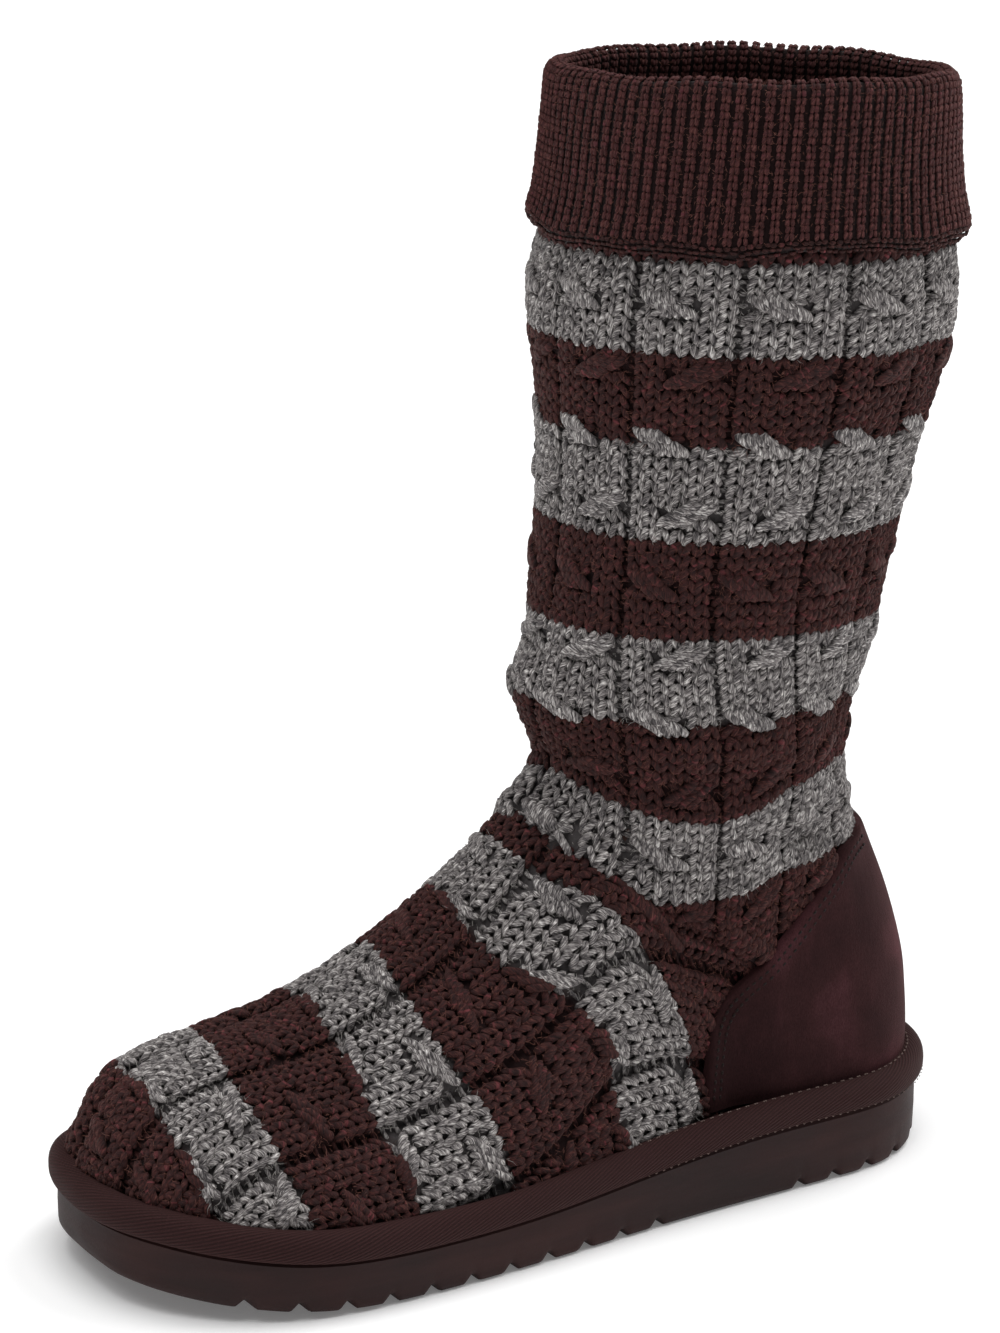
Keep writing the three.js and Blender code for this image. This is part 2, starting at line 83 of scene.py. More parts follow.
# Rows of the vamp: distance from the boot's middle along the foot, towards the heel, at places across the vamp.
# row: counted from the ankle to the toe. The places are arc lengths from the crown, the outer side positive.
VAMP_PLACES = (-85, -45, -15, 10, 30, 45, 60, 85)
VAMP_ROWS = [
    {"row": -8, "at": (92, 72, 52, 50, 53, 66, 80, 92)},
    {"row": 0, "at": (68, 46, 28, 25, 29, 42, 56, 68)},
    {"row": 10, "at": (37, 12, -4, -7.4, 0, 13, 29.5, 39.5)},
    {"row": 18, "at": (6, -10, -18.6, -24.2, -22, -14.4, -3, 7)},
    {"row": 28, "at": (-27, -33, -37.5, -43.3, -44.3, -41, -34.8, -27)},
    {"row": 36, "at": (-56, -57, -60, -64.5, -67, -66.5, -61.5, -57)},
    {"row": 46, "at": (-84, -85, -89, -95, -96, -93, -88.3, -86)},
    {"row": 54, "at": (-112, -111, -111.7, -115.5, -117.6, -119, -120, -121)},
    {"row": 63, "at": (-138, -137, -137, -137, -137, -137, -138, -138)},
]
VAMP_PANELS = 7
VAMP_PHASE = -4.1  # how many rows the vamp's crossings lie ahead of the shaft's
VAMP_CABLE = 0.55  # how high its crossings stand, as a share of the shaft's
# The vamp's grooves: arc lengths from the crown of the first three on the outer side, by row
GROOVE_ROWS = (-8, 10, 14, 18, 23, 28, 33, 40, 49, 63)
GROOVE_ARCS = (
    (15.5, 17, 17, 17, 17.5, 17, 15.5, 15, 12, 11), (48, 54, 59, 60, 56.5, 53, 49.5, 46, 45, 43),
    (77, 78, 84, 91, 90, 86, 81, 77.5, 76, 74),
)
LAST_PANEL = 31  # width of the panel outside these
RIDGE = -5  # the crown's place across the foot
FAN = (-95, -20)  # ahead of this place along the foot, rows fan about a line at this height
FAN_REACH = 70  # the fan's radius
VAMP_CORE = 28  # height of the line that the vamp's sections are seen from
LID = (48, 10)  # behind the throat the vamp's sections end under a lid: its half width and height over the seam

# The seam between vamp and shaft: its height at places along the foot
SEAM = ((-20, 126), (-4, 115), (2, 108.5), (7, 101.4), (20.5, 91.8), (38.4, 79.7), (53.6, 68.5), (100, 40))

YARN = 1.12  # the yarn's radius
SKIN = 1.8  # depth of the knit's ground under the outer surface
LINING = 3.9  # depth of the lining's surface
PUFF = 1.2  # how far a panel's edges lie under its middle
VAMP_PUFF = 2.0
BULGE = 1.6  # how far the vamp swells over the welt
WELT_HEIGHT = 8.4  # the welt's height over the sole
DITCH = 0.9  # how far the ground sinks between panels

# One leg of a stitch: column and row from the stitch's middle, and lift. Two legs lean together at the top.
LEG = np.array([
    (-0.04, -0.60, -0.45), (0.10, -0.44, 0.12), (0.23, -0.14, 0.38), (0.34, 0.18, 0.26), (0.43, 0.48, -0.25),
    (0.49, 0.78, -1.15),
])

# The cuff
RIBS = 94
RIB_ROW = 1.93
CUFF_TOP = 307.6  # where the fold begins
CUFF_HEM = 269.5  # where the ribs end and the hem turns under
CUFF_THICK = 6.7
CUFF_INSIDE = 279  # how far down the inner layer reaches

# The counter's front edge in side view: distance along the foot and height
COUNTER_EDGE = (
    (39.9, 26), (41.4, 43.6), (42.6, 51), (45.6, 57.5), (51, 62.6), (58.1, 67.5), (71, 81.6), (82.5, 93.6),
    (86.5, 97), (91, 98.6), (98, 99),
)
COUNTER_LIFT = 1.5  # the suede's outer surface over the leg's
PATCH = {"middle": 53, "width": 21, "height": 27, "sideways": 1.2, "lift": 3.2}

# The sole's edges as the frame has them
SPRING = (8.0, 0.7)  # the toe's rise, and the share of the length where it starts
BEVEL = (2.5, 0.05)
SOLE_ROUND = 2.6
STATIONS = 520  # places along the sole
GAP = 0.3
WELT_STITCHES = 12  # the welt's stitches show behind this place along the foot
WELT_PROFILE = (
    (-4.2, 0.0), (0.6, 0.0), (1.9, 0.5), (2.35, 1.7), (2.4, 3.4), (2.25, 5.2), (1.6, 6.8), (0.4, 7.9),
    (-1.2, 8.35), (-2.8, 8.2), (-4.2, 7.7),
)

FLOOR_GLOW = 0.13  # keeps the floor near white beside the boot
SKY_LIGHT = 0.17  # brightness of the light from all sides
# Soft lights: name, place to the right, up and beyond the boot as the camera sees it, spread, strength
SUNS = (("right_light", 1.0, 1.3, 0.6, 50, 1.65), ("left_light", -0.5, 2.2, -0.1, 60, 1.1),
        ("top_light", 0.0, 1.0, -0.1, 40, 1.2))


# Small tools

def smooth(low, high, x):
    t = np.clip((np.asarray(x, float) - low) / (high - low), 0, 1)
    return t * t * (3 - 2 * t)


def unit(v):
    return v / np.maximum(np.linalg.norm(v, axis=-1, keepdims=True), 1e-9)


def blurred(values, sigma, axis, wrap):
    """values smoothed along an axis by a bell curve; sigma in steps."""
    reach = int(3 * sigma) + 1
    steps = np.arange(-reach, reach + 1)
    weights = np.exp(-0.5 * (steps / sigma) ** 2)
    weights /= weights.sum()
    width = [(0, 0)] * values.ndim
    width[axis] = (reach, reach)
    padded = np.pad(values, width, mode="wrap" if wrap else "edge")
    count = values.shape[axis]
    out = np.zeros_like(values)
    for step, weight in zip(steps, weights):
        out += weight * np.take(padded, np.arange(count) + reach + step, axis=axis)
    return out


def tree_of(*names):
    """The CAD nodes as one tree for rays, in millimetres."""
    places, faces = [], []
    for name in names:
        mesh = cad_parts[name].data
        first = len(places)
        places += [v.co / MM for v in mesh.vertices]
        faces += [[first + i for i in p.vertices] for p in mesh.polygons]
    return BVHTree.FromPolygons(places, faces)


def reach_of(tree, core, direction, start=260.0):
    """How far from the core point the tree's outermost surface lies in a direction."""
    core = Vector(core)
    direction = Vector(direction)
    hit = tree.ray_cast(core + direction * start, -direction)[0]
    return float("nan") if hit is None else (hit - core).dot(direction)


def filled(values):
    """Missing values along the last axis, taken from their neighbours."""
    for row in values.reshape(-1, values.shape[-1]):
        known = np.isfinite(row)
        if known.any():
            row[~known] = np.interp(np.flatnonzero(~known), np.flatnonzero(known), row[known])
    return values


def mesh_object(name, places, faces, materials, indices=None, attributes=None, sharp=None):
    """A mesh from places in millimetres and quads; a quad whose last two corners are one is a triangle."""
    mesh = bpy.data.meshes.new(name)
    places = np.asarray(places, float).reshape(-1, 3)
    three = faces[:, 2] == faces[:, 3]
    wanted = np.ones(faces.shape, bool)
    wanted[three, 3] = False
    corners = faces[wanted]
    counts = np.where(three, 3, 4)
    mesh.vertices.add(len(places))
    mesh.vertices.foreach_set("co", (places * MM).ravel())
    mesh.loops.add(len(corners))
    mesh.loops.foreach_set("vertex_index", corners.astype(np.int32))
    mesh.polygons.add(len(counts))
    mesh.polygons.foreach_set("loop_start", np.concatenate(([0], np.cumsum(counts)[:-1])).astype(np.int32))
    mesh.polygons.foreach_set("use_smooth", np.ones(len(counts), bool))
    if indices is not None:
        mesh.polygons.foreach_set("material_index", np.asarray(indices, np.int32))
    for key, values in (attributes or {}).items():
        values = np.asarray(values, np.float32)
        kind = "FLOAT" if values.size == len(places) else "FLOAT_VECTOR"
        field = mesh.attributes.new(key, kind, "POINT")
        field.data.foreach_set("value" if kind == "FLOAT" else "vector", values.ravel())
    mesh.update(calc_edges=True)
    mesh.validate()
    if sharp:
        mesh.set_sharp_from_angle(angle=math.radians(sharp))
    for material in materials:
        mesh.materials.append(material)
    piece = bpy.data.objects.new(name, mesh)
    bpy.context.scene.collection.objects.link(piece)
    return piece


def place_piece(piece, slot, *replaced):
    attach(piece, "root")
    if replaced:
        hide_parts(*replaced)
    return piece


def grid_faces(rows, columns, wrap=False, keep=None):
    """Quads of a grid of points, rows by columns. They face the way that row cross column gives."""
    r, c = np.meshgrid(np.arange(rows - 1), np.arange(columns if wrap else columns - 1), indexing="ij")
    if keep is not None:
        chosen = keep[r, c]
        r, c = r[chosen], c[chosen]
    after = (c + 1) % columns
    return np.stack([r * columns + c, (r + 1) * columns + c, (r + 1) * columns + after, r * columns + after],
                    axis=-1).reshape(-1, 4)


class Sheet:
    """A surface laid out in stitch columns (u) and rows (v), as a grid of places with outward normals."""

    def __init__(self, u, v, places, closed):
        self.u, self.v, self.closed = u, v, closed
        self.set_places(places)

    def set_places(self, places):
        self.places = places
        if self.closed:
            across = np.roll(places, -1, axis=1) - np.roll(places, 1, axis=1)
        else:
            across = np.gradient(places, axis=1)
        down = np.gradient(places, axis=0)
        self.normals = unit(np.cross(down, across))

    def moved(self, lift):
        """The surface moved along its normals by a grid of distances."""
        self.set_places(self.places + self.normals * lift[..., None])

    def at(self, u, v, lift=0.0):
        """Places at columns u and rows v, lifted off the surface, and their normals."""
        u, v = np.broadcast_arrays(np.asarray(u, float), np.asarray(v, float))
        step = self.u[1] - self.u[0]
        i = (u - self.u[0]) / step
        count = len(self.u)
        if self.closed:
            i = np.mod(i, count)
        else:
            i = np.clip(i, 0, count - 1.001)
        j = np.clip((v - self.v[0]) / (self.v[1] - self.v[0]), 0, len(self.v) - 1.001)
        i0, j0 = np.floor(i).astype(int), np.floor(j).astype(int)
        fi, fj = (i - i0)[..., None], (j - j0)[..., None]
        i0 = i0 % count
        i1 = (i0 + 1) % count

        def blend(grid):
            top = grid[j0, i0] * (1 - fi) + grid[j0, i1] * fi
            low = grid[j0 + 1, i0] * (1 - fi) + grid[j0 + 1, i1] * fi
            return top * (1 - fj) + low * fj

        normals = unit(blend(self.normals))
        return blend(self.places) + normals * np.asarray(lift, float)[..., None], normals


# The camera

def view_axes():
    azimuth, elevation, roll = (math.radians(CAMERA[k]) for k in ("azimuth", "elevation", "roll"))
    ahead = Vector((-math.sin(azimuth) * math.cos(elevation), math.cos(azimuth) * math.cos(elevation),
                    -math.sin(elevation)))
    level = Vector((math.cos(azimuth), math.sin(azimuth), 0))
    above = level.cross(ahead)
    right = level * math.cos(roll) + above * math.sin(roll)
    return right, above * math.cos(roll) - level * math.sin(roll), ahead


def add_camera():
    right, above, ahead = view_axes()
    camera = bpy.data.objects.new("camera", bpy.data.cameras.new("camera"))
    place = Vector(CAMERA["target"]) * MM - ahead * CAMERA["distance"] * MM
    camera.matrix_world = Matrix.Translation(place) @ Matrix((right, above, -ahead)).transposed().to_4x4()
    width, height = PICTURE
    lens = camera.data
    lens.sensor_fit = "HORIZONTAL"
    lens.sensor_width = 36
    lens.lens = CAMERA["focal_pixels"] / width * lens.sensor_width
    lens.shift_x = (width / 2 - CAMERA["centre"][0]) / width
    lens.shift_y = (CAMERA["centre"][1] - height / 2) / width
    lens.clip_start = 0.05
    bpy.context.scene.collection.objects.link(camera)
    bpy.context.scene.camera = camera


add_camera()


# Node materials

class Nodes:
    """A material's nodes, written as short calls."""

    def __init__(self, name):
        self.material = bpy.data.materials.new(name)
        self.material.use_nodes = True
        self.tree = self.material.node_tree
        self.shader = self.tree.nodes["Principled BSDF"]

    def add(self, kind, inputs=None, **settings):
        node = self.tree.nodes.new(kind)
        for key, value in settings.items():
            setattr(node, key, value)
        for key, value in (inputs or {}).items():
            self.put(node.inputs[key], value)
        return node

    def put(self, socket, value):
        if isinstance(value, bpy.types.NodeSocket):
            self.tree.links.new(value, socket)
        else:
            socket.default_value = value

    def attribute(self, name):
        return self.add("ShaderNodeAttribute", attribute_name=name)

    def parts(self, name):
        """The three numbers of a vector attribute."""
        return self.add("ShaderNodeSeparateXYZ", {0: self.attribute(name).outputs["Vector"]}).outputs

    def where(self):
        return self.add("ShaderNodeTexCoord").outputs["Object"]

    def maths(self, operation, a, b=0.0):
        return self.add("ShaderNodeMath", {0: a, 1: b}, operation=operation).outputs[0]

    def vector(self, x, y, z=0.0):
        return self.add("ShaderNodeCombineXYZ", {0: x, 1: y, 2: z}).outputs[0]

    def ramp(self, factor, stops):
        node = self.add("ShaderNodeValToRGB", {0: factor})
        ramp = node.color_ramp
        while len(ramp.elements) < len(stops):
            ramp.elements.new(0.5)
        for element, (place, colour) in zip(ramp.elements, stops):
            element.position = place
            element.color = colour
        return node.outputs["Color"]

    def bump(self, height, strength, distance, below=None):
        node = self.add("ShaderNodeBump", {"Height": height, "Strength": strength, "Distance": distance})
        if below is not None:
            self.put(node.inputs["Normal"], below)
        return node.outputs["Normal"]

    def noise(self, vector, scale, detail=2.0, roughness=0.5):
        return self.add("ShaderNodeTexNoise", {"Vector": vector, "Scale": scale, "Detail": detail,
                                               "Roughness": roughness}).outputs["Fac"]

    def mix(self, factor, a, b, blend="MIX"):
        node = self.add("ShaderNodeMix", data_type="RGBA", blend_type=blend)
        self.put(node.inputs["Factor"], factor)
        self.put(node.inputs["A"], a)
        self.put(node.inputs["B"], b)
        return node.outputs["Result"]

    def set(self, **inputs):
        names = {"base": "Base Color", "rough": "Roughness", "normal": "Normal", "sheen": "Sheen Weight",
                 "sheen_rough": "Sheen Roughness", "sheen_tint": "Sheen Tint", "specular": "Specular IOR Level",
                 "glow": "Emission Strength", "glow_tint": "Emission Color"}
        for key, value in inputs.items():
            self.put(self.shader.inputs[names[key]], value)
        return self.material


def rgb(code):
    """A colour from its hex code, as linear values."""
    parts = [int(code[i:i + 2], 16) / 255 for i in (1, 3, 5)]
    return tuple(((c + 0.055) / 1.055) ** 2.4 if c > 0.04045 else c / 12.92 for c in parts) + (1,)


def yarn_material(name, stops, sheen, tint, rough, fleck=None):
    """Plied wool. The stitch meshes carry yarn = (mm along, turns around, a random number) on each point.
    fleck: a colour that some short stretches of the yarn have."""
    n = Nodes(name)
    along, around, seed = n.parts("yarn")
    turn = n.maths("MULTIPLY", around, 2 * math.pi)
    twisted = n.maths("ADD", turn, n.maths("MULTIPLY", along, 0.9))
    depth = n.maths("ADD", n.maths("MULTIPLY", along, 0.22), n.maths("MULTIPLY", seed, 57.0))
    fibres = n.vector(n.maths("SINE", twisted), n.maths("COSINE", twisted), depth)
    streaks = n.noise(fibres, 2.6, 3.0, 0.62)
    cloud = n.noise(n.vector(n.maths("MULTIPLY", seed, 31.0), along), 0.8)
    tone = n.maths("ADD", n.maths("MULTIPLY", streaks, 0.74), n.maths("MULTIPLY", cloud, 0.26))
    colour = n.ramp(tone, stops)
    if fleck:
        patches = n.vector(n.maths("MULTIPLY", seed, 77.0), n.maths("MULTIPLY", along, 0.5))
        spots = n.ramp(n.noise(patches, 1.7), [(0.6, (0, 0, 0, 1)), (0.72, (1, 1, 1, 1))])
        colour = n.mix(spots, colour, rgb(fleck))
    # Painted shade: each yarn is darkened on its underside, which faces the knit, down to 0.3 of its colour.
    crest_for_painted_shade = n.maths("ADD", n.maths("MULTIPLY", n.attribute("crest_for_painted_shade").outputs["Fac"], 0.5), 0.5)
    colour = n.mix(1.0, colour, n.ramp(crest_for_painted_shade, [(0.3, (0.3, 0.3, 0.3, 1)), (0.75, (1, 1, 1, 1))]), "MULTIPLY")
    plies = n.maths("SINE", n.maths("ADD", n.maths("MULTIPLY", turn, 2.0), n.maths("MULTIPLY", along, 3.2)))
    relief = n.maths("ADD", n.maths("MULTIPLY", plies, 0.5), n.maths("MULTIPLY", streaks, 1.6))
    n.set(base=colour, rough=rough, normal=n.bump(relief, 0.8, 0.00035), sheen=sheen, sheen_rough=0.45,
          sheen_tint=rgb(tint), specular=0.25)
    return n.material


grey_wool = yarn_material("grey_wool", [
    (0.36, rgb("#1d1b1c")), (0.45, rgb("#504b4c")), (0.55, rgb("#97918f")), (0.66, rgb("#f2eeea"))],
    0.2, "#b8b2ae", 0.6)
brown_wool = yarn_material("brown_wool", [
    (0.34, rgb("#130708")), (0.47, rgb("#2a1313")), (0.58, rgb("#43211f")), (0.72, rgb("#6c4138"))],
    0.3, "#8a5a50", 0.8, "#6b3236")
rib_wool = yarn_material("rib_wool", [
    (0.34, rgb("#210e0f")), (0.47, rgb("#3f1f1f")), (0.58, rgb("#59302f")), (0.72, rgb("#84554b"))],
    0.2, "#8a5a50", 0.8, "#5c2c33")


def cloth_material(name, dark, light, scale, rough=0.95, sheen=0.2, depth=0.0006, attribute=None, others=None):
    """Rough cloth from two colours mixed by grain. Where an attribute is 1, two others take their place."""
    n = Nodes(name)
    where = n.where()
    grain = n.noise(where, scale, 4, 0.6)
    base = n.mix(grain, rgb(dark), rgb(light))
    if attribute:
        second = n.mix(grain, rgb(others[0]), rgb(others[1]))
        base = n.mix(n.attribute(attribute).outputs["Fac"], base, second)
    n.set(base=base, rough=rough, normal=n.bump(grain, 0.6, depth), sheen=sheen, sheen_rough=0.5,
          specular=0.1)
    return n.material


# The knit's ground under the stitches, in its brown and grey stripes, is darker than the yarn: painted shade in
# the gaps and grooves between the stitches.
knit_ground_painted_shade = cloth_material("knit_ground_painted_shade", "#120909", "#2d1818", 900, attribute="grey",
                             others=("#282626", "#585353"))
# The cuff's ground between the ribs is darker than the rib yarn: painted shade in the gaps between the ribs.
rib_ground_painted_shade = cloth_material("rib_ground_painted_shade", "#150a0a", "#241212", 1100)
lining_cloth = cloth_material("lining_cloth", "#2a1c1a", "#5a443d", 500, depth=0.0012)


def suede_material(name, deep, mid, pale, patchy=38):
    """Brushed suede: a fine nap, cloudy patches where it lies another way, and small scuffs."""
    n = Nodes(name)
    where = n.where()
    clouds = n.noise(where, patchy, 3, 0.55)
    brushed = n.add("ShaderNodeMapping", {"Vector": where, "Scale": (1, 1, 0.45)}).outputs[0]
    nap = n.noise(brushed, 2600, 3, 0.7)
    scuffs = n.noise(n.add("ShaderNodeMapping", {"Vector": where, "Rotation": (0.5, 0.3, 0.8),
                                                 "Scale": (1, 1, 0.25)}).outputs[0], 190, 4, 0.6)
    base = n.ramp(clouds, [(0.35, rgb(deep)), (0.55, rgb(mid)), (0.72, rgb(pale))])
    fine = n.ramp(nap, [(0.3, (0.62, 0.62, 0.62, 1)), (0.7, (1.35, 1.35, 1.35, 1))])
    base = n.mix(1.0, base, fine, "MULTIPLY")
    rubbed = n.ramp(scuffs, [(0.6, (0, 0, 0, 1)), (0.8, (0.35, 0.35, 0.35, 1))])
    base = n.mix(rubbed, base, rgb(pale))
    n.set(base=base, rough=0.92, sheen=0.35, sheen_rough=0.4, sheen_tint=rgb("#7d5052"), specular=0.12,
          normal=n.bump(scuffs, 0.25, 0.0008, n.bump(nap, 0.5, 0.0003)))
    return n.material


def leather_material():
    n = Nodes("patch_leather")
    where = n.where()
    cells = n.add("ShaderNodeTexVoronoi", {"Vector": where, "Scale": 1500, "Randomness": 0.9})
    tone = n.noise(where, 220, 4, 0.6)
    base = n.ramp(tone, [(0.3, rgb("#3d211a")), (0.55, rgb("#5d3528")), (0.75, rgb("#7d5140"))])
    rim = n.ramp(n.attribute("rim").outputs["Fac"], [(0.75, (0, 0, 0, 1)), (1.0, (0.6, 0.6, 0.6, 1))])
    n.set(base=n.mix(rim, base, rgb("#8b6350")), rough=0.55, specular=0.35,
          normal=n.bump(tone, 0.3, 0.0006, n.bump(cells.outputs["Distance"], 0.5, 0.0002)))
    return n.material


def twill_material():
    """The welt's bound fabric. Its mesh carries band = (mm along the edge, mm across it, 0)."""
    n = Nodes("binding_twill")
    run, across, _ = n.parts("band")
    where = n.where()
    drift = n.maths("MULTIPLY", n.noise(where, 160, 2), 1.6)
    slope = n.maths("ADD", n.maths("MULTIPLY", run, 2.4), n.maths("MULTIPLY", across, 6.6))
    ridges = n.maths("SINE", n.maths("ADD", slope, drift))
    threads = n.maths("ADD", run, n.maths("MULTIPLY", across, -0.4))
    threads = n.maths("SINE", n.maths("MULTIPLY", threads, 15.0))
    speckle = n.noise(n.vector(n.maths("MULTIPLY", run, 0.6), n.maths("MULTIPLY", across, 3.0)), 2.2, 3, 0.7)
    clouds = n.noise(where, 45, 3)
    tone = n.maths("ADD", n.maths("MULTIPLY", ridges, 0.12), n.maths("MULTIPLY", speckle, 0.9))
    base = n.ramp(tone, [(0.3, rgb("#1c0d0b")), (0.5, rgb("#2f1919")), (0.68, rgb("#412727"))])
    base = n.mix(n.maths("MULTIPLY", clouds, 0.45), base, rgb("#372020"))
    relief = n.maths("ADD", ridges, n.maths("MULTIPLY", threads, 0.3))
    n.set(base=base, rough=0.8, sheen=0.12, sheen_rough=0.5, sheen_tint=rgb("#8b6058"), specular=0.15,
          normal=n.bump(relief, 0.55, 0.00018))
    return n.material


def foam_material():
    """The outsole's skinned foam: matt and mottled, with faint flow marks and rubbed spots."""
    n = Nodes("sole_foam")
    where = n.where()
    clouds = n.noise(where, 30, 3)
    pores = n.noise(where, 1700, 3, 0.65)
    flow = n.noise(n.add("ShaderNodeMapping", {"Vector": where, "Scale": (1, 1, 7)}).outputs[0], 34, 3)
    tone = n.maths("ADD", n.maths("MULTIPLY", clouds, 0.55), n.maths("MULTIPLY", flow, 0.45))
    base = n.ramp(tone, [(0.36, rgb("#231312")), (0.52, rgb("#2c1817")), (0.68, rgb("#351e1c"))])
    rough = n.ramp(n.maths("ADD", n.maths("MULTIPLY", pores, 0.5), n.maths("MULTIPLY", clouds, 0.5)),
                   [(0.3, (0.52, 0.52, 0.52, 1)), (0.7, (0.72, 0.72, 0.72, 1))])
    n.set(base=base, rough=rough, specular=0.22,
          normal=n.bump(flow, 0.2, 0.0009, n.bump(pores, 0.3, 0.00012)))
    return n.material


def thread_material(name, dark, light):
    n = Nodes(name)
    along, around, seed = n.parts("yarn")
    turn = n.maths("MULTIPLY", around, 2 * math.pi)
    twist = n.maths("SINE", n.maths("ADD", turn, n.maths("MULTIPLY", along, 9.0)))
    tone = n.maths("ADD", n.maths("MULTIPLY", twist, 0.25), n.noise(n.vector(seed, along), 4.0))
    n.set(base=n.ramp(tone, [(0.3, rgb(dark)), (0.75, rgb(light))]), rough=0.75, specular=0.25,
          normal=n.bump(twist, 0.5, 0.0001))
    return n.material


def fleece_material():
    n = Nodes("insole_fleece")
    where = n.where()
    curls = n.noise(where, 420, 5, 0.7)
    clouds = n.noise(where, 60, 2)
    base = n.ramp(n.maths("ADD", n.maths("MULTIPLY", curls, 0.6), n.maths("MULTIPLY", clouds, 0.4)),
                  [(0.3, rgb("#8c7c68")), (0.55, rgb("#b9aa98")), (0.75, rgb("#d9cebf"))])
    n.set(base=base, rough=1.0, sheen=0.5, sheen_rough=0.6, specular=0.05, normal=n.bump(curls, 0.9, 0.0015))
    return n.material


# Surfaces read from the frame

def shaft_centre(height):
    return np.where(np.asarray(height) > 110, 62 + (np.asarray(height) - 177) * 0.077, 57.0)


class Rings:
    """Reach of a CAD surface from the leg's centre line, by angle and height, smoothed over the frame's facets."""
    STEP = 2.5

    def __init__(self, node, heights):
        tree = tree_of(node)
        self.heights = heights
        angles = np.radians(np.arange(0, 360, self.STEP))
        radii = np.zeros((len(heights), len(angles)))
        for r, height in enumerate(heights):
            core = (0, float(shaft_centre(height)), height)
            for c, angle in enumerate(angles):
                radii[r, c] = reach_of(tree, core, (math.cos(angle), -math.sin(angle), 0))
        self.radii = blurred(blurred(filled(radii), 1.2, 1, True), 1.6, 0, False)

    def radius(self, angle, height):
        angle, height = np.broadcast_arrays(np.asarray(angle, float), np.asarray(height, float))
        turn = np.mod(np.degrees(angle), 360) / self.STEP
        step = self.heights[1] - self.heights[0]
        level = np.clip((height - self.heights[0]) / step, 0, len(self.heights) - 1.001)
        count = self.radii.shape[1]
        c0, r0 = np.floor(turn).astype(int) % count, np.floor(level).astype(int)
        c1 = (c0 + 1) % count
        fc, fr = turn - np.floor(turn), level - r0
        return ((self.radii[r0, c0] * (1 - fc) + self.radii[r0, c1] * fc) * (1 - fr)
                + (self.radii[r0 + 1, c0] * (1 - fc) + self.radii[r0 + 1, c1] * fc) * fr)

    def at(self, angle, height, lift=0.0):
        """Places at angles and heights, lifted away from the centre line."""
        reach = self.radius(angle, height) + lift
        return polar(angle, height, reach)


def polar(angle, height, reach):
    angle, height = np.broadcast_arrays(np.asarray(angle, float), np.asarray(height, float))
    return np.stack([reach * np.cos(angle), shaft_centre(height) - reach * np.sin(angle), height], axis=-1)


leg = Rings("upper_knit", np.arange(25, 277.5, 2.5))
cuff_rings = Rings("ribbed_cuff", np.arange(269, 308.1, 1.5))


def seam_height(places):
    along, heights = zip(*SEAM)
    return np.interp(places[..., 1], along, heights)


def shaft_height(row, angle):
    """Height of a row of stitches at an angle: level rings, the lowest of which rise to front and back."""
    turn = np.degrees(np.arctan2(np.sin(angle), np.abs(np.cos(angle))))
    rows = np.arange(len(SHAFT_EDGES) - 1) * BAND_ROWS
    end = rows[-1] + BAND_ROWS
    level = np.interp(row, rows, SHAFT_EDGES[:-1])
    level = level + np.interp(turn, EDGE_ANGLES, EDGE_RISE) * smooth(rows[-2] - 3, rows[-1], row)
    edge = SHAFT_EDGES[-2] + np.interp(turn, EDGE_ANGLES, EDGE_RISE)
    last = SHAFT_EDGES[-1] + np.interp(turn, EDGE_ANGLES, LAST_RISE)
    low = edge + (last - edge) * np.clip((row - rows[-1]) / BAND_ROWS, 0, 1)
    level = np.where(row > rows[-1], low, level)
    level = np.where(row > end, last - (row - end) * ROW, level)
    return np.where(row < 0, SHAFT_EDGES[0] - row * ROW, level)


def panel_puff(u, amount):
    """Each panel is a soft ridge between its grooves."""
    x = np.abs(np.mod(u / PANEL, 1) - 0.5) * 2
    return -amount * x ** 4


def ditch(u):
    """1 in the middle of a groove, 0 on the panels."""
    away = (0.5 - np.abs(np.mod(u / PANEL, 1) - 0.5)) * PANEL
    return np.exp(-(away / 0.4) ** 2)


def uneven(shape, amount, sigma, wrap):
    """A soft random undulation over a grid."""
    field = rng.normal(0, 1, shape)
    field = blurred(blurred(field, sigma, 0, False), sigma, 1, wrap)
    return field / field.std() * amount


def shaft_sheet():
    u = np.arange(0, PANELS * PANEL - 1e-6, PANEL / 22)
    v = np.arange(-4.5, 66.1, 0.5)
    column, row = np.meshgrid(u, v)
    plain = np.radians(FIRST_GROOVE - 30 * column / PANEL)
    guess = shaft_height(row, plain)
    gather = math.radians(GATHER) * (1 - smooth(112, 178, guess))
    angle = plain - gather * np.sin(np.radians(FIRST_GROOVE) - plain)
    height = shaft_height(row, angle)
    sheet = Sheet(u, v, leg.at(angle, height), True)
    lift = panel_puff(column, PUFF) + uneven(column.shape, 0.35, 6, True)
    for fold_angle, fold_height, half_width, half_height, out in FOLDS:
        turn = np.angle(np.exp(1j * (angle - math.radians(fold_angle)))) * leg.radius(angle, height)
        lift += out * np.exp(-(turn / half_width) ** 2 - ((height - fold_height) / half_height) ** 2)
    side = sheet.places[..., 2] - seam_height(sheet.places)
    lift += 1.6 * np.exp(-((side - 5) / 3.5) ** 2) - 2.4 * smooth(1.5, -4, side)
    sheet.moved(lift)
    return sheet


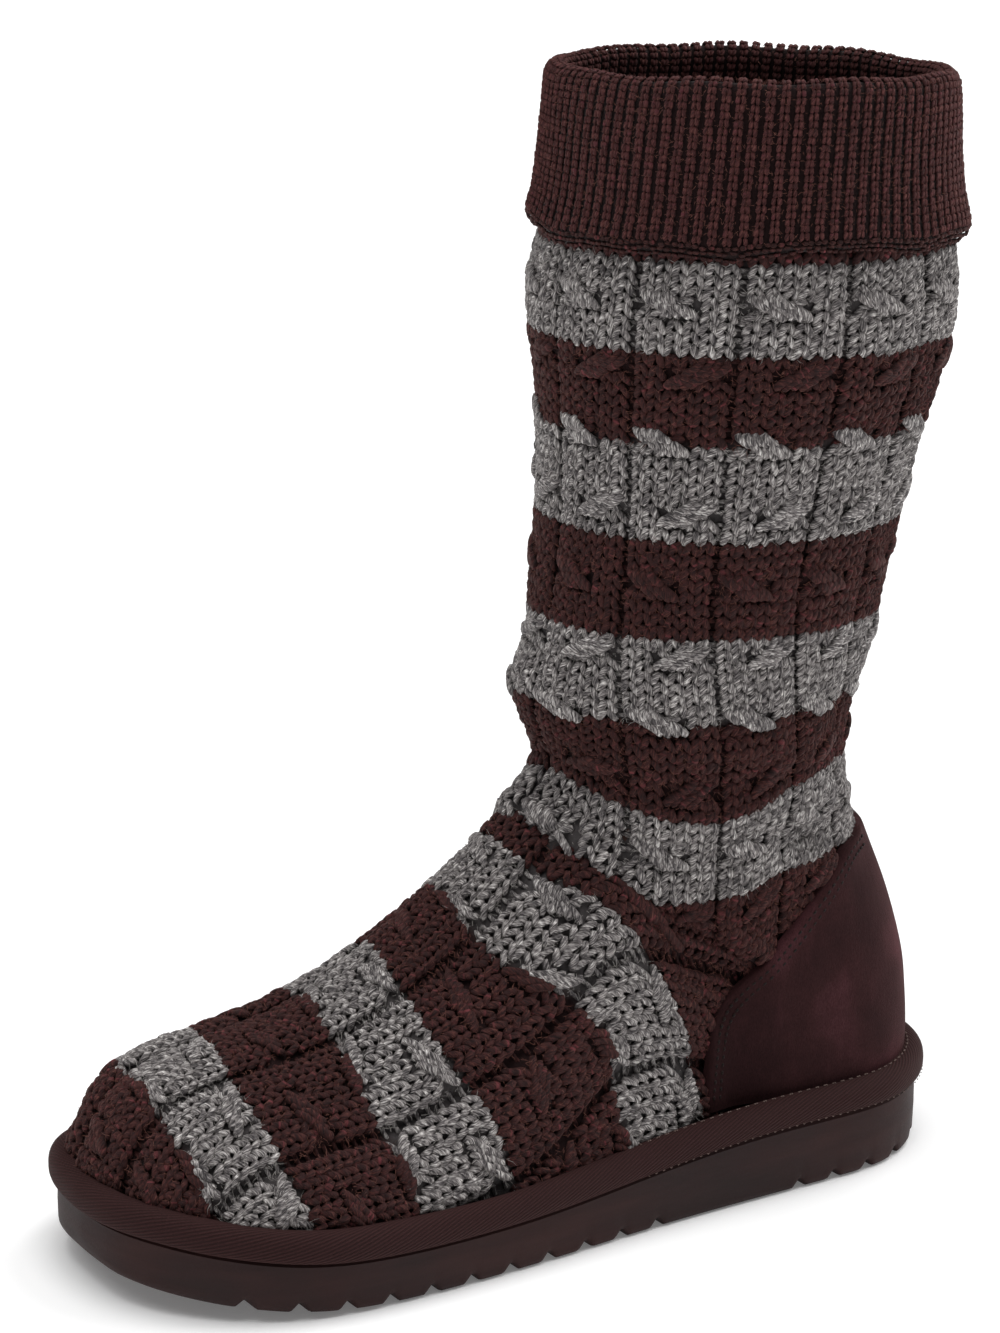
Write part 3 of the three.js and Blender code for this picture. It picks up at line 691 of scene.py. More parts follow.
class Sole:
    """The sole's outline and heights, read from the frame and smoothed over its facets."""

    def __init__(self):
        tree = tree_of("outsole")
        low, high = (np.array(corner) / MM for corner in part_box("outsole"))
        self.heel, self.toe = high[1], low[1]
        self.length = self.heel - self.toe
        middle, reach = (self.heel + self.toe) / 2, self.length / 2
        level = 12.0  # a height at which the whole edge is upright
        stations = middle + reach * 0.99999 * np.cos(np.linspace(0, math.pi, STATIONS + 1))
        sides = np.array([[reach_of(tree, (0, y, level), (way, 0, 0)) * way for way in (1, -1)] for y in stations])
        sides = filled(sides.T.copy()).T
        ring = np.concatenate([np.stack([sides[:, 0], stations], axis=-1),
                               np.stack([sides[::-1, 1], stations[::-1]], axis=-1)[1:-1]])
        self.ring = blurred(ring, 7, 0, True)
        way = np.roll(self.ring, -1, axis=0) - np.roll(self.ring, 1, axis=0)
        self.out = unit(np.stack([-way[:, 1], way[:, 0]], axis=-1))
        ys = np.linspace(self.toe + 0.4, self.heel - 0.4, 1300)
        tops = [tree.ray_cast(Vector((0, y, 100)), Vector((0, 0, -1)))[0] for y in ys]
        feet = [tree.ray_cast(Vector((0, y, -100)), Vector((0, 0, 1)))[0] for y in ys]
        self.ys = ys
        self.tops = blurred(filled(np.array([hit.z if hit else np.nan for hit in tops])), 25, 0, False)
        self.feet = filled(np.array([hit.z if hit else np.nan for hit in feet]))

    def offset(self, distance):
        return self.ring + self.out * distance

    def top(self, y):
        return np.interp(y, self.ys, self.tops)

    def foot(self, y):
        return np.interp(y, self.ys, self.feet)

    def base(self, y):
        """The underside without its tread."""
        share = (self.heel - y) / self.length
        return (SPRING[0] * (np.maximum(share - SPRING[1], 0) / (1 - SPRING[1])) ** 2
                + BEVEL[0] * (np.maximum(BEVEL[1] - share, 0) / BEVEL[1]) ** 2)


sole = Sole()


# The vamp's surface, laid out in stitches

def vamp_sections():
    """Places on the vamp by station along the foot and arc length from the crown."""
    tree = tree_of("upper_knit")
    stations = np.arange(-140, 96, 2.0)
    turns = np.radians(np.arange(-112, 113, 2.0))
    cores, directions, lids = [], [], []
    for station in stations:
        lean = max(FAN[0] - station, 0) / FAN_REACH
        up = np.array([0, -math.sin(lean), math.cos(lean)])
        if lean:
            core = np.array([0, FAN[0], FAN[1]]) + up * (VAMP_CORE - FAN[1])
        else:
            core = np.array([0, station, VAMP_CORE])
        cores.append(core)
        directions.append(np.cos(turns)[:, None] * up + np.sin(turns)[:, None] * np.array([1, 0, 0]))
        lid_height = float(seam_height(np.array([0, station, 0]))) + LID[1] - VAMP_CORE
        shape = (np.abs(np.sin(turns)) / LID[0]) ** 3 + (np.maximum(np.cos(turns), 0.0) / lid_height) ** 3
        lids.append(shape ** (-1 / 3) if station > -8 else np.full(len(turns), 1e3))
    cores, directions = np.array(cores), np.array(directions)
    reach = np.array([[reach_of(tree, core, d) for d in row] for core, row in zip(cores, directions)])
    reach = np.minimum(filled(reach), np.array(lids))
    reach = blurred(blurred(reach, 1.2, 1, False), 1.6, 0, False)
    places = cores[:, None] + directions * reach[..., None]
    arcs = np.arange(-120, 121, 1.0)
    out = np.zeros((len(stations), len(arcs), 3))
    for k, line in enumerate(places):
        length = np.concatenate(([0], np.cumsum(np.linalg.norm(np.diff(line, axis=0), axis=1))))
        top = np.flatnonzero((line[:-1, 0] < RIDGE) & (line[1:, 0] >= RIDGE))
        best = top[np.argmax(line[top, 2])]
        share = (RIDGE - line[best, 0]) / (line[best + 1, 0] - line[best, 0])
        start = length[best] + share * (length[best + 1] - length[best])
        for axis in range(3):
            out[k, :, axis] = np.interp(arcs + start, length, line[:, axis])
    return stations, arcs, out


def vamp_sheet():
    stations, arcs, sections = vamp_sections()
    u = np.arange(0, VAMP_PANELS * PANEL + 1e-6, PANEL / 22)
    v = np.arange(-8, 63.1, 0.5)
    lines = np.array([blurred(np.interp(arcs, VAMP_PLACES, row["at"]), 7, 0, False) for row in VAMP_ROWS])
    rows = [row["row"] for row in VAMP_ROWS]
    arc, station = np.zeros((2, len(v), len(u)))
    for r, row in enumerate(v):
        outer = [float(np.interp(row, GROOVE_ROWS, places)) for places in GROOVE_ARCS]
        outer.append(outer[-1] + LAST_PANEL)
        grooves = [-place for place in outer[::-1]] + outer
        arc[r] = np.interp(u / PANEL, np.arange(VAMP_PANELS + 1), grooves)
        k = min(int(np.searchsorted(rows, row, side="right")) - 1, len(rows) - 2)
        share = (row - rows[k]) / (rows[k + 1] - rows[k])
        station[r] = np.interp(arc[r], arcs, lines[k] * (1 - share) + lines[k + 1] * share)
    arc = np.clip(blurred(blurred(arc, 4, 0, False), 5, 1, False), arcs[0], arcs[-1])
    station = blurred(station, 3, 0, False)
    i = np.clip((station - stations[0]) / 2.0, 0, len(stations) - 1.001)
    j = np.clip(arc - arcs[0], 0, len(arcs) - 1.001)
    i0, j0 = np.floor(i).astype(int), np.floor(j).astype(int)
    fi, fj = (i - i0)[..., None], (j - j0)[..., None]
    places = ((sections[i0, j0] * (1 - fj) + sections[i0, j0 + 1] * fj) * (1 - fi)
              + (sections[i0 + 1, j0] * (1 - fj) + sections[i0 + 1, j0 + 1] * fj) * fi)
    sheet = Sheet(u, v, places, False)
    side = sheet.places[..., 2] - seam_height(sheet.places)
    lift = panel_puff(np.broadcast_to(u, side.shape), VAMP_PUFF) + uneven(side.shape, 0.35, 6, False)
    over_welt = sheet.places[..., 2] - sole.top(sheet.places[..., 1]) - WELT_HEIGHT
    lift += BULGE * np.exp(-((over_welt - 1) / 6) ** 2) * smooth(60, 20, sheet.places[..., 1])
    sheet.moved(lift - 0.9 * smooth(-3, 1, side))
    return sheet


shaft = shaft_sheet()
vamp = vamp_sheet()
counter_tree = tree_of("heel_counter")
welt_tree = tree_of("welt_binding")


def covered(places, normals, tree, reach):
    """Which places lie under a tree's surface, seen along their normals."""
    flat, ways = places.reshape(-1, 3), normals.reshape(-1, 3)
    out = np.array([tree.ray_cast(Vector(p) - Vector(n) * 0.5, Vector(n), reach)[0] is not None
                    for p, n in zip(flat, ways)])
    return out.reshape(places.shape[:-1])


def in_view(places, normals, above_seam, tuck):
    """Which places of the knit show: on their side of the seam, and not under counter or welt."""
    side = places[..., 2] - seam_height(places)
    shown = side > -tuck if above_seam else side < tuck
    level = normals * np.array([1, 1, 0])
    level = unit(np.where(np.linalg.norm(level, axis=-1, keepdims=True) < 0.2, np.array([0, -1, 0]), level))
    shown &= ~covered(places + normals * 0.8 + np.array([0, 0, 2.5]), level, welt_tree, 14)
    shown &= ~covered(places + normals * 0.8, normals, counter_tree, 9)
    return shown


def stripe(row, bands):
    """1 where a row is grey. bands: rows where the colour changes, from brown."""
    return np.searchsorted(bands, row, side="right") % 2


SHAFT_BANDS = [BAND_ROWS * k for k in range(len(SHAFT_EDGES))]
VAMP_BANDS = [row["row"] for row in VAMP_ROWS[2:-1]]


# Stitches

def braid_crossings(first, last, phase):
    """The braid of a panel: (row, strand over, strand under, place of the pair) for each crossing."""
    order = [0, 1, 2]
    events = []
    crossing = FIRST_CROSSING + phase - 3 * CROSSING_ROWS
    left_over = True
    while crossing < last + CROSSING_ROWS:
        if left_over:
            events.append((crossing, order[0], order[1], 0))
            order[0], order[1] = order[1], order[0]
        else:
            events.append((crossing, order[2], order[1], 1))
            order[1], order[2] = order[2], order[1]
        left_over = not left_over
        crossing += CROSSING_ROWS / 2
    return events


def strand_column(events, strand, row):
    """Where a strand's left column stands at a row, and how it lies: 1 over, -1 under, 0 plain."""
    place = 2.0 * strand
    lie = 0
    for crossing, over, under, side in events:
        if strand not in (over, under):
            continue
        left, right = 2.0 * side, 2.0 * side + 2
        rightwards = (strand == over) == (side == 0)
        a, b = (left, right) if rightwards else (right, left)
        t = (row - crossing) / (2 * CROSSING_REACH) + 0.5
        if t > 0:
            place = a + (b - a) * float(smooth(0, 1, t))
        if abs(row - crossing) < (1.05 if strand == over else 1.7):
            lie = 1 if strand == over else -1
    return place, lie


def stitches(panels, rows, phase, cable, squeeze):
    """All stitches: plain ones as column, row, lean and lie, and the long legs of the crossings as paths in
    columns, rows and lift, with each leg's crossing row."""
    plain, long, knots = [], [], []
    events = braid_crossings(rows[0], rows[-1], phase)
    for strand in range(3):
        for row in rows:
            place, lie = strand_column(events, strand, row + 0.5)
            lean = strand_column(events, strand, row + 1.0)[0] - strand_column(events, strand, row)[0]
            if lie <= 0:
                plain += [(place + j + 0.5, row + 0.5, lean, lie) for j in (0, 1)]
        for crossing, over, under, side in events:
            if over != strand or not rows[0] < crossing < rows[-1]:
                continue
            for j in (0, 1):
                for hand in (-1, 1):
                    for part in (-1, 1):
                        samples = []
                        for q in np.linspace(-0.72, 0.72, 6) + part * 0.55:
                            place = strand_column(events, strand, crossing + q * 0.9)[0]
                            lift = 0.95 * cable * math.cos(q * 1.05) - 0.4 * abs(q - part * 0.55) ** 2
                            samples.append((place + j + 0.5 + hand * 0.25, crossing + q, lift))
                        long.append(samples)
                        knots.append(crossing)
    plain, long, knots = np.array(plain, float), np.array(long), np.array(knots)
    for group in (plain, long):
        group[..., 0] = COLUMNS / 2 + (group[..., 0] - COLUMNS / 2) * squeeze
    lefts = np.arange(panels) * PANEL + GROOVE / 2
    plain = np.tile(plain, (panels, 1, 1))
    plain[..., 0] += lefts[:, None]
    long = np.tile(long, (panels, 1, 1, 1))
    long[..., 0] += lefts[:, None, None]
    return plain.reshape(-1, 4), long.reshape(-1, long.shape[-2], 3), np.tile(knots, panels)


def leg_paths(plain):
    """Paths of plain stitches' legs: all left ones, then all right ones."""
    middle, row, lean, lie = plain.T
    x, down, lift = LEG.T
    paths = []
    for hand in (-1, 1):
        tilt = rng.normal(0, 0.06, len(plain))
        columns = middle[:, None] + hand * x + (lean + tilt)[:, None] * down
        rows = row[:, None] + down + tilt[:, None] * x
        lifts = lift + np.where(lie < 0, -0.4, 0.0)[:, None]
        paths.append(np.stack([columns, rows, lifts], axis=-1))
    return np.concatenate(paths)


def tubes(lines, normals, radius, sides, flat=0.85, blunt=0.08):
    """Spindles of yarn along lines: places, faces, the yarn attribute, and how many faces each has."""
    count, samples = lines.shape[:2]
    thick = radius * (1 + rng.normal(0, 0.07, count))
    ways = unit(np.gradient(lines, axis=1))
    across = unit(np.cross(ways, normals))
    upward = np.cross(across, ways)
    q = np.linspace(0, 1, samples)
    swell = np.clip(np.sin(math.pi * (blunt + (1 - 2 * blunt) * q[1:-1])) * 1.6, 0, 1) ** 0.5
    turns = np.arange(sides) / sides
    ring = (np.cos(2 * math.pi * turns)[:, None], np.sin(2 * math.pi * turns)[:, None])
    size = (thick[:, None] * swell)[..., None, None]
    rings = (lines[:, 1:-1, None] + across[:, 1:-1, None] * ring[0] * size
             + upward[:, 1:-1, None] * ring[1] * size * flat)
    per = (samples - 2) * sides + 2
    places = np.concatenate([lines[:, :1], rings.reshape(count, -1, 3), lines[:, -1:]], axis=1)
    steps = np.linalg.norm(np.diff(lines, axis=1), axis=2)
    along = np.concatenate([np.zeros((count, 1)), np.cumsum(steps, axis=1)], axis=1)
    yarn = np.zeros((count, per, 3))
    yarn[:, 0, 0], yarn[:, -1, 0] = along[:, 0], along[:, -1]
    yarn[:, 1:-1, 0] = np.repeat(along[:, 1:-1], sides, axis=1)
    yarn[:, 1:-1, 1] = np.tile(turns, samples - 2)
    yarn[..., 2] = rng.random(count)[:, None]
    faces = []
    for s in range(sides):
        t = (s + 1) % sides
        last = 1 + (samples - 3) * sides
        faces += [[0, 1 + t, 1 + s, 1 + s], [per - 1, last + s, last + t, last + t]]
        for a in range(1, last, sides):
            faces.append([a + s, a + t, a + sides + t, a + sides + s])
    base = np.arange(count) * per
    faces_all = (base[:, None, None] + np.array(faces)).reshape(-1, 4)
    return places.reshape(-1, 3), faces_all, yarn.reshape(-1, 3), len(faces)


def yarn_on(sheet, paths, radius, sides, base_lift, jitter=(0.025, 0.045, 0.13)):
    """Spindles of yarn along paths on a sheet."""
    shift = rng.normal(0, 1, (len(paths), 3)) * jitter
    paths = paths + shift[:, None]
    lines, normals = sheet.at(paths[..., 0], paths[..., 1], paths[..., 2] + base_lift)
    return tubes(lines, normals, radius, sides)


def joined(name, batches, materials):
    """One mesh from batches of (places, faces, yarn, faces of each spindle, material index of each spindle)."""
    places, faces, yarns, indices = [], [], [], []
    first = 0
    for batch_places, batch_faces, yarn, per, colour in batches:
        places.append(batch_places)
        faces.append(batch_faces + first)
        yarns.append(yarn)
        indices.append(np.repeat(colour, per))
        first += len(batch_places)
    yarn = np.concatenate(yarns)
    # Each point also gets how far it faces away from the knit, which the yarn materials use to paint shade on the
    # yarns' undersides.
    return mesh_object(name, np.concatenate(places), np.concatenate(faces), materials,
                       np.concatenate(indices), {"yarn": yarn, "crest_for_painted_shade": np.sin(2 * math.pi * yarn[:, 1])})


RUNG = ((-0.42, -0.5), (-0.2, 0), (0, 0.15), (0.2, 0), (0.42, -0.5))  # a thread across a groove: column and lift


def knit(sheet, panels, rows, bands, above_seam, phase, cable, squeeze, split):
    """All stitches of a sheet, as pieces that each hold part of it."""
    plain, long, knots = stitches(panels, rows, phase, cable, squeeze)
    middle, normals = sheet.at(plain[:, 0], plain[:, 1])
    shown = in_view(middle, normals, above_seam, 2.2)
    plain, middle = plain[shown], middle[shown]
    crossing = long[:, 2:4].mean(axis=1)
    long_middle, long_normals = sheet.at(crossing[:, 0], crossing[:, 1])
    shown = in_view(long_middle, long_normals, above_seam, 0.5)
    long, long_middle, knots = long[shown], long_middle[shown], knots[shown]
    # The shaft's crossings are grey wherever they touch a grey stripe. The vamp's change colour with the rows.
    if above_seam:
        long_tone = np.maximum(stripe(knots + 0.6, bands), stripe(knots - 0.6, bands))
    else:
        long_tone = stripe(np.floor(crossing[shown, 1]), bands)
    edges = np.arange(panels + (0 if sheet.closed else 1)) * PANEL
    bars = np.array([[(edge + x, row + 0.5, lift) for x, lift in RUNG] for edge in edges for row in rows])
    bar_middle, bar_normals = sheet.at(bars[:, 2, 0], bars[:, 2, 1])
    shown = in_view(bar_middle, bar_normals, above_seam, 0.5)
    bars, bar_middle = bars[shown], bar_middle[shown]
    plain_tone = stripe(np.floor(plain[:, 1]), bands)
    groups = (
        (leg_paths(plain), np.tile(middle, (2, 1)), np.tile(plain_tone, 2), YARN, 5, -0.95),
        (long, long_middle, long_tone, YARN * 1.1, 6, -0.75),
        (bars, bar_middle, stripe(np.floor(bars[:, 2, 1]), bands), YARN * 0.6, 5, 0.5 - SKIN - DITCH),
    )
    pieces = []
    for name, chosen in split:
        batches = []
        for group, where, tone, radius, sides, lift in groups:
            mask = chosen(where)
            if mask.any():
                batches.append((*yarn_on(sheet, group[mask], radius, sides, lift), tone[mask]))
        pieces.append(joined(name, batches, [brown_wool, grey_wool]))
    return pieces


def skin(name, sheet, depth, bands, above_seam, material, step=2, inward=False):
    """The sheet itself at a depth, where it shows, with the attribute grey for its stripes."""
    columns = np.arange(0, len(sheet.u), step)
    rows = np.arange(0, len(sheet.v), step)
    depths = depth + DITCH * ditch(sheet.u)
    places = (sheet.places - sheet.normals * depths[None, :, None])[np.ix_(rows, columns)]
    outer = sheet.places[np.ix_(rows, columns)]
    side = outer[..., 2] - seam_height(outer)
    keep = side > -3 if above_seam else side < 3
    faces = grid_faces(len(rows), len(columns), sheet.closed, keep)
    if inward:
        faces = faces[:, ::-1]
    grey = stripe(np.repeat(sheet.v[rows], len(columns)) + 0.01, bands).astype(float)
    return mesh_object(name, places, faces, [material], None, {"grey": grey})


def between(low, high, axis=2):
    return lambda places: (places[:, axis] > low) & (places[:, axis] <= high)


shaft_rows = np.arange(-3, 66)
vamp_rows = np.arange(-8, 63)
stitch_pieces = knit(shaft, PANELS, shaft_rows, SHAFT_BANDS, True, 0.0, 1.0, 1.0, (
    ("shaft_knit_upper", between(214, 400)), ("shaft_knit_middle", between(160, 214)),
    ("shaft_knit_lower", between(0, 160))))
stitch_pieces += knit(vamp, VAMP_PANELS, vamp_rows, VAMP_BANDS, False, VAMP_PHASE, VAMP_CABLE, VAMP_SQUEEZE, (
    ("vamp_knit_back", between(-45, 400, 1)), ("vamp_knit_toe", between(-400, -45, 1))))
for piece in stitch_pieces:
    place_piece(piece, "knit", "upper_knit")
# The grounds are sheets under the stitches whose dark colour is painted shade; the linings lie under them.
for piece in (
        skin("shaft_ground_painted_shade", shaft, SKIN, SHAFT_BANDS, True, knit_ground_painted_shade),
        skin("shaft_lining", shaft, LINING, SHAFT_BANDS, True, lining_cloth, 4, True),
        skin("vamp_ground_painted_shade", vamp, SKIN, VAMP_BANDS, False, knit_ground_painted_shade),
        skin("vamp_lining", vamp, LINING, VAMP_BANDS, False, lining_cloth, 4, True)):
    place_piece(piece, "knit", "upper_knit")


# The ribbed cuff

# Half of a rib's stitch: column and row from its middle, and lift
GRAIN = np.array([(0.19, 0.78, -0.42), (0.18, 0.28, 0.02), (0.14, -0.28, 0.12), (0.08, -0.74, -0.3)])
FOLD_RISE = 4.2  # height of the fold over the cuff's top
HEM_DROP = 4.2  # how far the hem hangs
HEM_INSET = 4.0  # how far the hem turns in

def cuff_sheet():
    """The cuff's surface: up its inner layer, over the fold, down the outside and in under the hem."""
    inner = [(z, CUFF_THICK) for z in np.arange(CUFF_INSIDE, CUFF_TOP, 1.0)]
    turn = np.linspace(0, math.pi, 15)
    fold = [(CUFF_TOP + FOLD_RISE * math.sin(t), CUFF_THICK / 2 * (1 + math.cos(t))) for t in turn]
    outer = [(z, 0.0) for z in np.arange(CUFF_TOP - 1, CUFF_HEM, -1.0)]
    hem = [(CUFF_HEM - HEM_DROP * t, HEM_INSET * t ** 1.3) for t in np.linspace(0, 1, 7)]
    profile = np.array(inner + fold + outer + hem)
    length = np.concatenate(([0], np.cumsum(np.linalg.norm(np.diff(profile, axis=0), axis=1))))
    rows = math.floor(length[-1] / RIB_ROW)
    v = np.arange(0, rows + 0.01, 0.5)
    height = np.interp(v * RIB_ROW, length, profile[:, 0])
    inset = np.interp(v * RIB_ROW, length, profile[:, 1])
    u = np.arange(0, RIBS, 0.5)
    angle = -2 * math.pi * u / RIBS
    wave = 0.8 * np.sin(3 * angle + 1) + 0.5 * np.sin(7 * angle) + 0.3 * np.sin(13 * angle + 2)
    height = height[:, None] + wave * smooth(290, 268, height)[:, None] * (inset < 3.5)[:, None]
    wave_top = 0.6 * np.sin(2 * angle + 0.5) + 0.35 * np.sin(9 * angle)
    height = height + wave_top * smooth(296, 311, height)
    angle = np.broadcast_to(angle, height.shape)
    reach = cuff_rings.radius(angle, np.clip(height, 269, 307.5)) - inset[:, None]
    sheet = Sheet(u, v, polar(angle, height, reach), True)
    sheet.moved(uneven(height.shape, 0.25, 6, True))
    return sheet, rows


def cuff_pieces():
    sheet, rows = cuff_sheet()
    hem_rows = 2.4
    middle, row = np.meshgrid(np.arange(RIBS) + 0.5, np.arange(rows - 1 - int(hem_rows)) + 0.5)
    middle, row = middle.ravel(), row.ravel()
    grains = []
    for hand in (-1, 1):
        out, down, lift = GRAIN.T
        grains.append(np.stack([middle[:, None] + hand * out, row[:, None] + down,
                                np.broadcast_to(lift, (len(middle), 4))], axis=-1))
    ribs = yarn_on(sheet, np.concatenate(grains), 0.66, 5, -0.42, (0.02, 0.04, 0.07))
    pieces = [joined("cuff_ribs", [(*ribs, np.zeros(2 * len(middle), int))], [rib_wool])]
    bead, row = np.meshgrid(np.arange(0, RIBS, 0.5), np.arange(rows - 3, rows) + 0.4)
    x, lift = np.array([(-0.3, -0.6), (-0.1, 0), (0.1, 0), (0.3, -0.6)]).T
    hem = np.stack([bead.ravel()[:, None] + x, np.repeat(row.ravel()[:, None], 4, axis=1),
                    np.broadcast_to(lift, (bead.size, 4))], axis=-1)
    hem = yarn_on(sheet, hem, 0.62, 5, -0.6, (0.06, 0.1, 0.1))
    pieces.append(joined("cuff_hem", [(*hem, np.zeros(bead.size, int))], [brown_wool]))
    # A sheet under the ribs, dark with painted shade between them.
    ground = (sheet.places - sheet.normals * 1.3)[::2, ::2]
    pieces.append(mesh_object("cuff_ground_painted_shade", ground, grid_faces(*ground.shape[:2], True), [rib_ground_painted_shade]))
    return sheet, pieces


cuff, made = cuff_pieces()
for piece in made:
    place_piece(piece, "rib", "ribbed_cuff")


# The suede counter and its patch

BACK = -math.pi / 2


def counter_angle(side, along, height):
    """Angle at which the counter's surface passes a distance along the foot, on the outer or inner side."""
    sweep = np.radians(np.linspace(60, -90, 151))
    angles = sweep if side > 0 else math.pi - sweep
    y = leg.at(angles, np.full(151, height), COUNTER_LIFT)[:, 1]
    return float(np.interp(along, np.maximum.accumulate(y), angles))


def counter_at(side, along, height):
    """A place on the counter's surface, by its place in side view."""
    return leg.at(counter_angle(side, along, height), height, COUNTER_LIFT)


def edge_curve(inset, step):
    """The counter's front edge in side view, moved in from the edge, at equal steps, and its slope."""
    edge = np.array(COUNTER_EDGE, float)
    length = np.concatenate(([0], np.cumsum(np.linalg.norm(np.diff(edge, axis=0), axis=1))))
    s = np.arange(0, length[-1], step)
    fine = np.stack([np.interp(s, length, edge[:, k]) for k in (0, 1)], axis=-1)
    fine = blurred(fine, max(2.0 / step, 0.4), 0, False)
    way = unit(np.gradient(fine, axis=0))
    return fine + np.stack([way[:, 1], -way[:, 0]], axis=-1) * inset


def counter_piece():
    edge = edge_curve(0, 0.5)
    heights = np.concatenate([np.linspace(26.5, 94, 46), [95.3, 96.4, 97.2, 97.9, 98.4, 98.8, 99.0, 99.0]])
    near = np.array([0, 0, 0.3, 0.7, 1.2, 1.9, 3.0])
    shares = np.linspace(0, 1, 82)[1:-1]
    grid, depths = [], []
    for row, height in enumerate(heights):
        along = float(np.interp(height, np.maximum.accumulate(edge[:, 1]), edge[:, 0]))
        ends = [counter_angle(1, along, height), counter_angle(-1, along, height) - 2 * math.pi]
        reach = float(leg.radius(ends[0], height))
        first = ends[0] - near * 1.15 / reach
        last = ends[1] + near[::-1] * 1.15 / reach
        angles = np.concatenate([first, first[-1] + (last[0] - first[-1]) * shares, last])
        line = leg.at(angles, height, COUNTER_LIFT)
        gap = np.linalg.norm(line[:, None, 1:] - edge[None], axis=2).min(axis=1)
        depth = 1.4 * (1 - np.sqrt(1 - np.clip(1 - gap / 1.3, 0, 1) ** 2))
        top = np.clip(1 - (99.0 - height) / 1.3, 0, 1)
        depth = np.maximum(depth, 1.4 * (1 - math.sqrt(1 - top ** 2)))
        depth[[0, -1]] = 2.9
        if row == len(heights) - 1:
            depth[:] = 2.9
        grid.append(line)
        depths.append(depth)
    grid, depths = np.array(grid), np.array(depths)
    surface = Sheet(np.arange(grid.shape[1]), np.arange(len(heights)), grid[::-1], False)
    normals = surface.normals
    normals[0] = normals[1]
    normals[:, 0], normals[:, -1] = normals[:, 1], normals[:, -2]
    slack = uneven(depths.shape, 0.18, 4, False)
    shape = surface.places - normals * (depths[::-1] + slack)[..., None]
    return mesh_object("counter_suede", shape, grid_faces(*depths.shape), [counter_suede])


def row_of_stitches(points, normals, length, radius, sides=5, sink=0.05, samples=5):
    """Short threads centred on points and laid along the line that the points make."""
    ways = unit(np.gradient(points, axis=0))
    q = np.linspace(-0.5, 0.5, samples)
    lines = points[:, None] + ways[:, None] * (q * length)[:, None]
    lines = lines + normals[:, None] * ((0.16 - 1.9 * q ** 2) * length * 0.3 - sink)[:, None]
    return tubes(lines, np.repeat(normals[:, None], samples, axis=1), radius, sides)


def counter_threads():
    batches = []
    for inset in (1.9, 4.3):
        line = edge_curve(inset, 2.35)
        line = line[(line[:, 1] > 30) & (line[:, 0] < 97)]
        for side in (1, -1):
            points = np.array([counter_at(side, y, z) for y, z in line])
            core = np.stack([0 * points[:, 0], shaft_centre(points[:, 2]), points[:, 2]], axis=-1)
            normals = unit(points - core)
            batch = row_of_stitches(points, normals, 1.75, 0.42)
            batches.append((*batch, np.zeros(len(points), int)))
    return joined("counter_threads", batches, [dark_thread])


def patch_point(x, z, lift):
    """A place over the counter's back, by its place in back view."""
    turn = np.zeros_like(x)
    for _ in range(4):
        reach = leg.radius(BACK + turn, z) + lift
        turn = np.arcsin(np.clip(x / reach, -0.9, 0.9))
    return leg.at(BACK + turn, z, lift)


def patch_pieces():
    shares = np.array([0, 0.15, 0.3, 0.45, 0.6, 0.72, 0.8, 0.86, 0.91, 0.95, 0.98, 1.0, 1.0])
    around = np.linspace(0, 2 * math.pi, 72, endpoint=False)
    share, angle = np.meshgrid(shares, around, indexing="ij")
    x = PATCH["sideways"] + share * PATCH["width"] / 2 * np.cos(angle)
    z = PATCH["middle"] + share * PATCH["height"] / 2 * np.sin(angle)
    drop = 1.1 * (1 - np.sqrt(np.clip(1 - np.clip((share - 0.88) / 0.12, 0, 1) ** 2, 0, 1)))
    channel = 0.35 * np.exp(-((share - 0.85) / 0.03) ** 2)
    lift = PATCH["lift"] - drop - channel
    lift[-1] = 0.8
    places = np.array([patch_point(a, b, c) for a, b, c in zip(x, z, lift)])
    faces = grid_faces(len(shares), len(around), True)[:, ::-1]
    hub = faces[:, 0] < len(around)
    faces[hub] = np.column_stack([faces[hub, 1], faces[hub, 2], np.zeros((hub.sum(), 2), int)])
    patch = mesh_object("patch_leather", places, faces, [patch_leather], None, {"rim": share.ravel()})
    ring = np.linspace(0, 2 * math.pi, 40)[:-1]
    points = patch_point(PATCH["sideways"] + 0.85 * PATCH["width"] / 2 * np.cos(ring),
                         PATCH["middle"] + 0.85 * PATCH["height"] / 2 * np.sin(ring),
                         np.full(len(ring), PATCH["lift"] - 0.1))
    normals = np.tile(np.array([0.0, 1.0, 0.0]), (len(points), 1))
    batch = row_of_stitches(points, normals, 1.3, 0.24)
    threads = joined("patch_threads", [(*batch, np.zeros(len(points), int))], [pale_thread])
    return patch, threads


counter_suede = suede_material("counter_suede", "#251213", "#311a1b", "#46272b")
patch_leather = leather_material()
dark_thread = thread_material("dark_thread", "#0c0606", "#24130f")
pale_thread = thread_material("pale_thread", "#6a4a3c", "#b59a86")
place_piece(counter_piece(), "suede", "heel_counter")
place_piece(counter_threads(), "suede", "heel_counter")
for piece in patch_pieces():
    place_piece(piece, "patch", "heel_patch")


# The sole and its welt

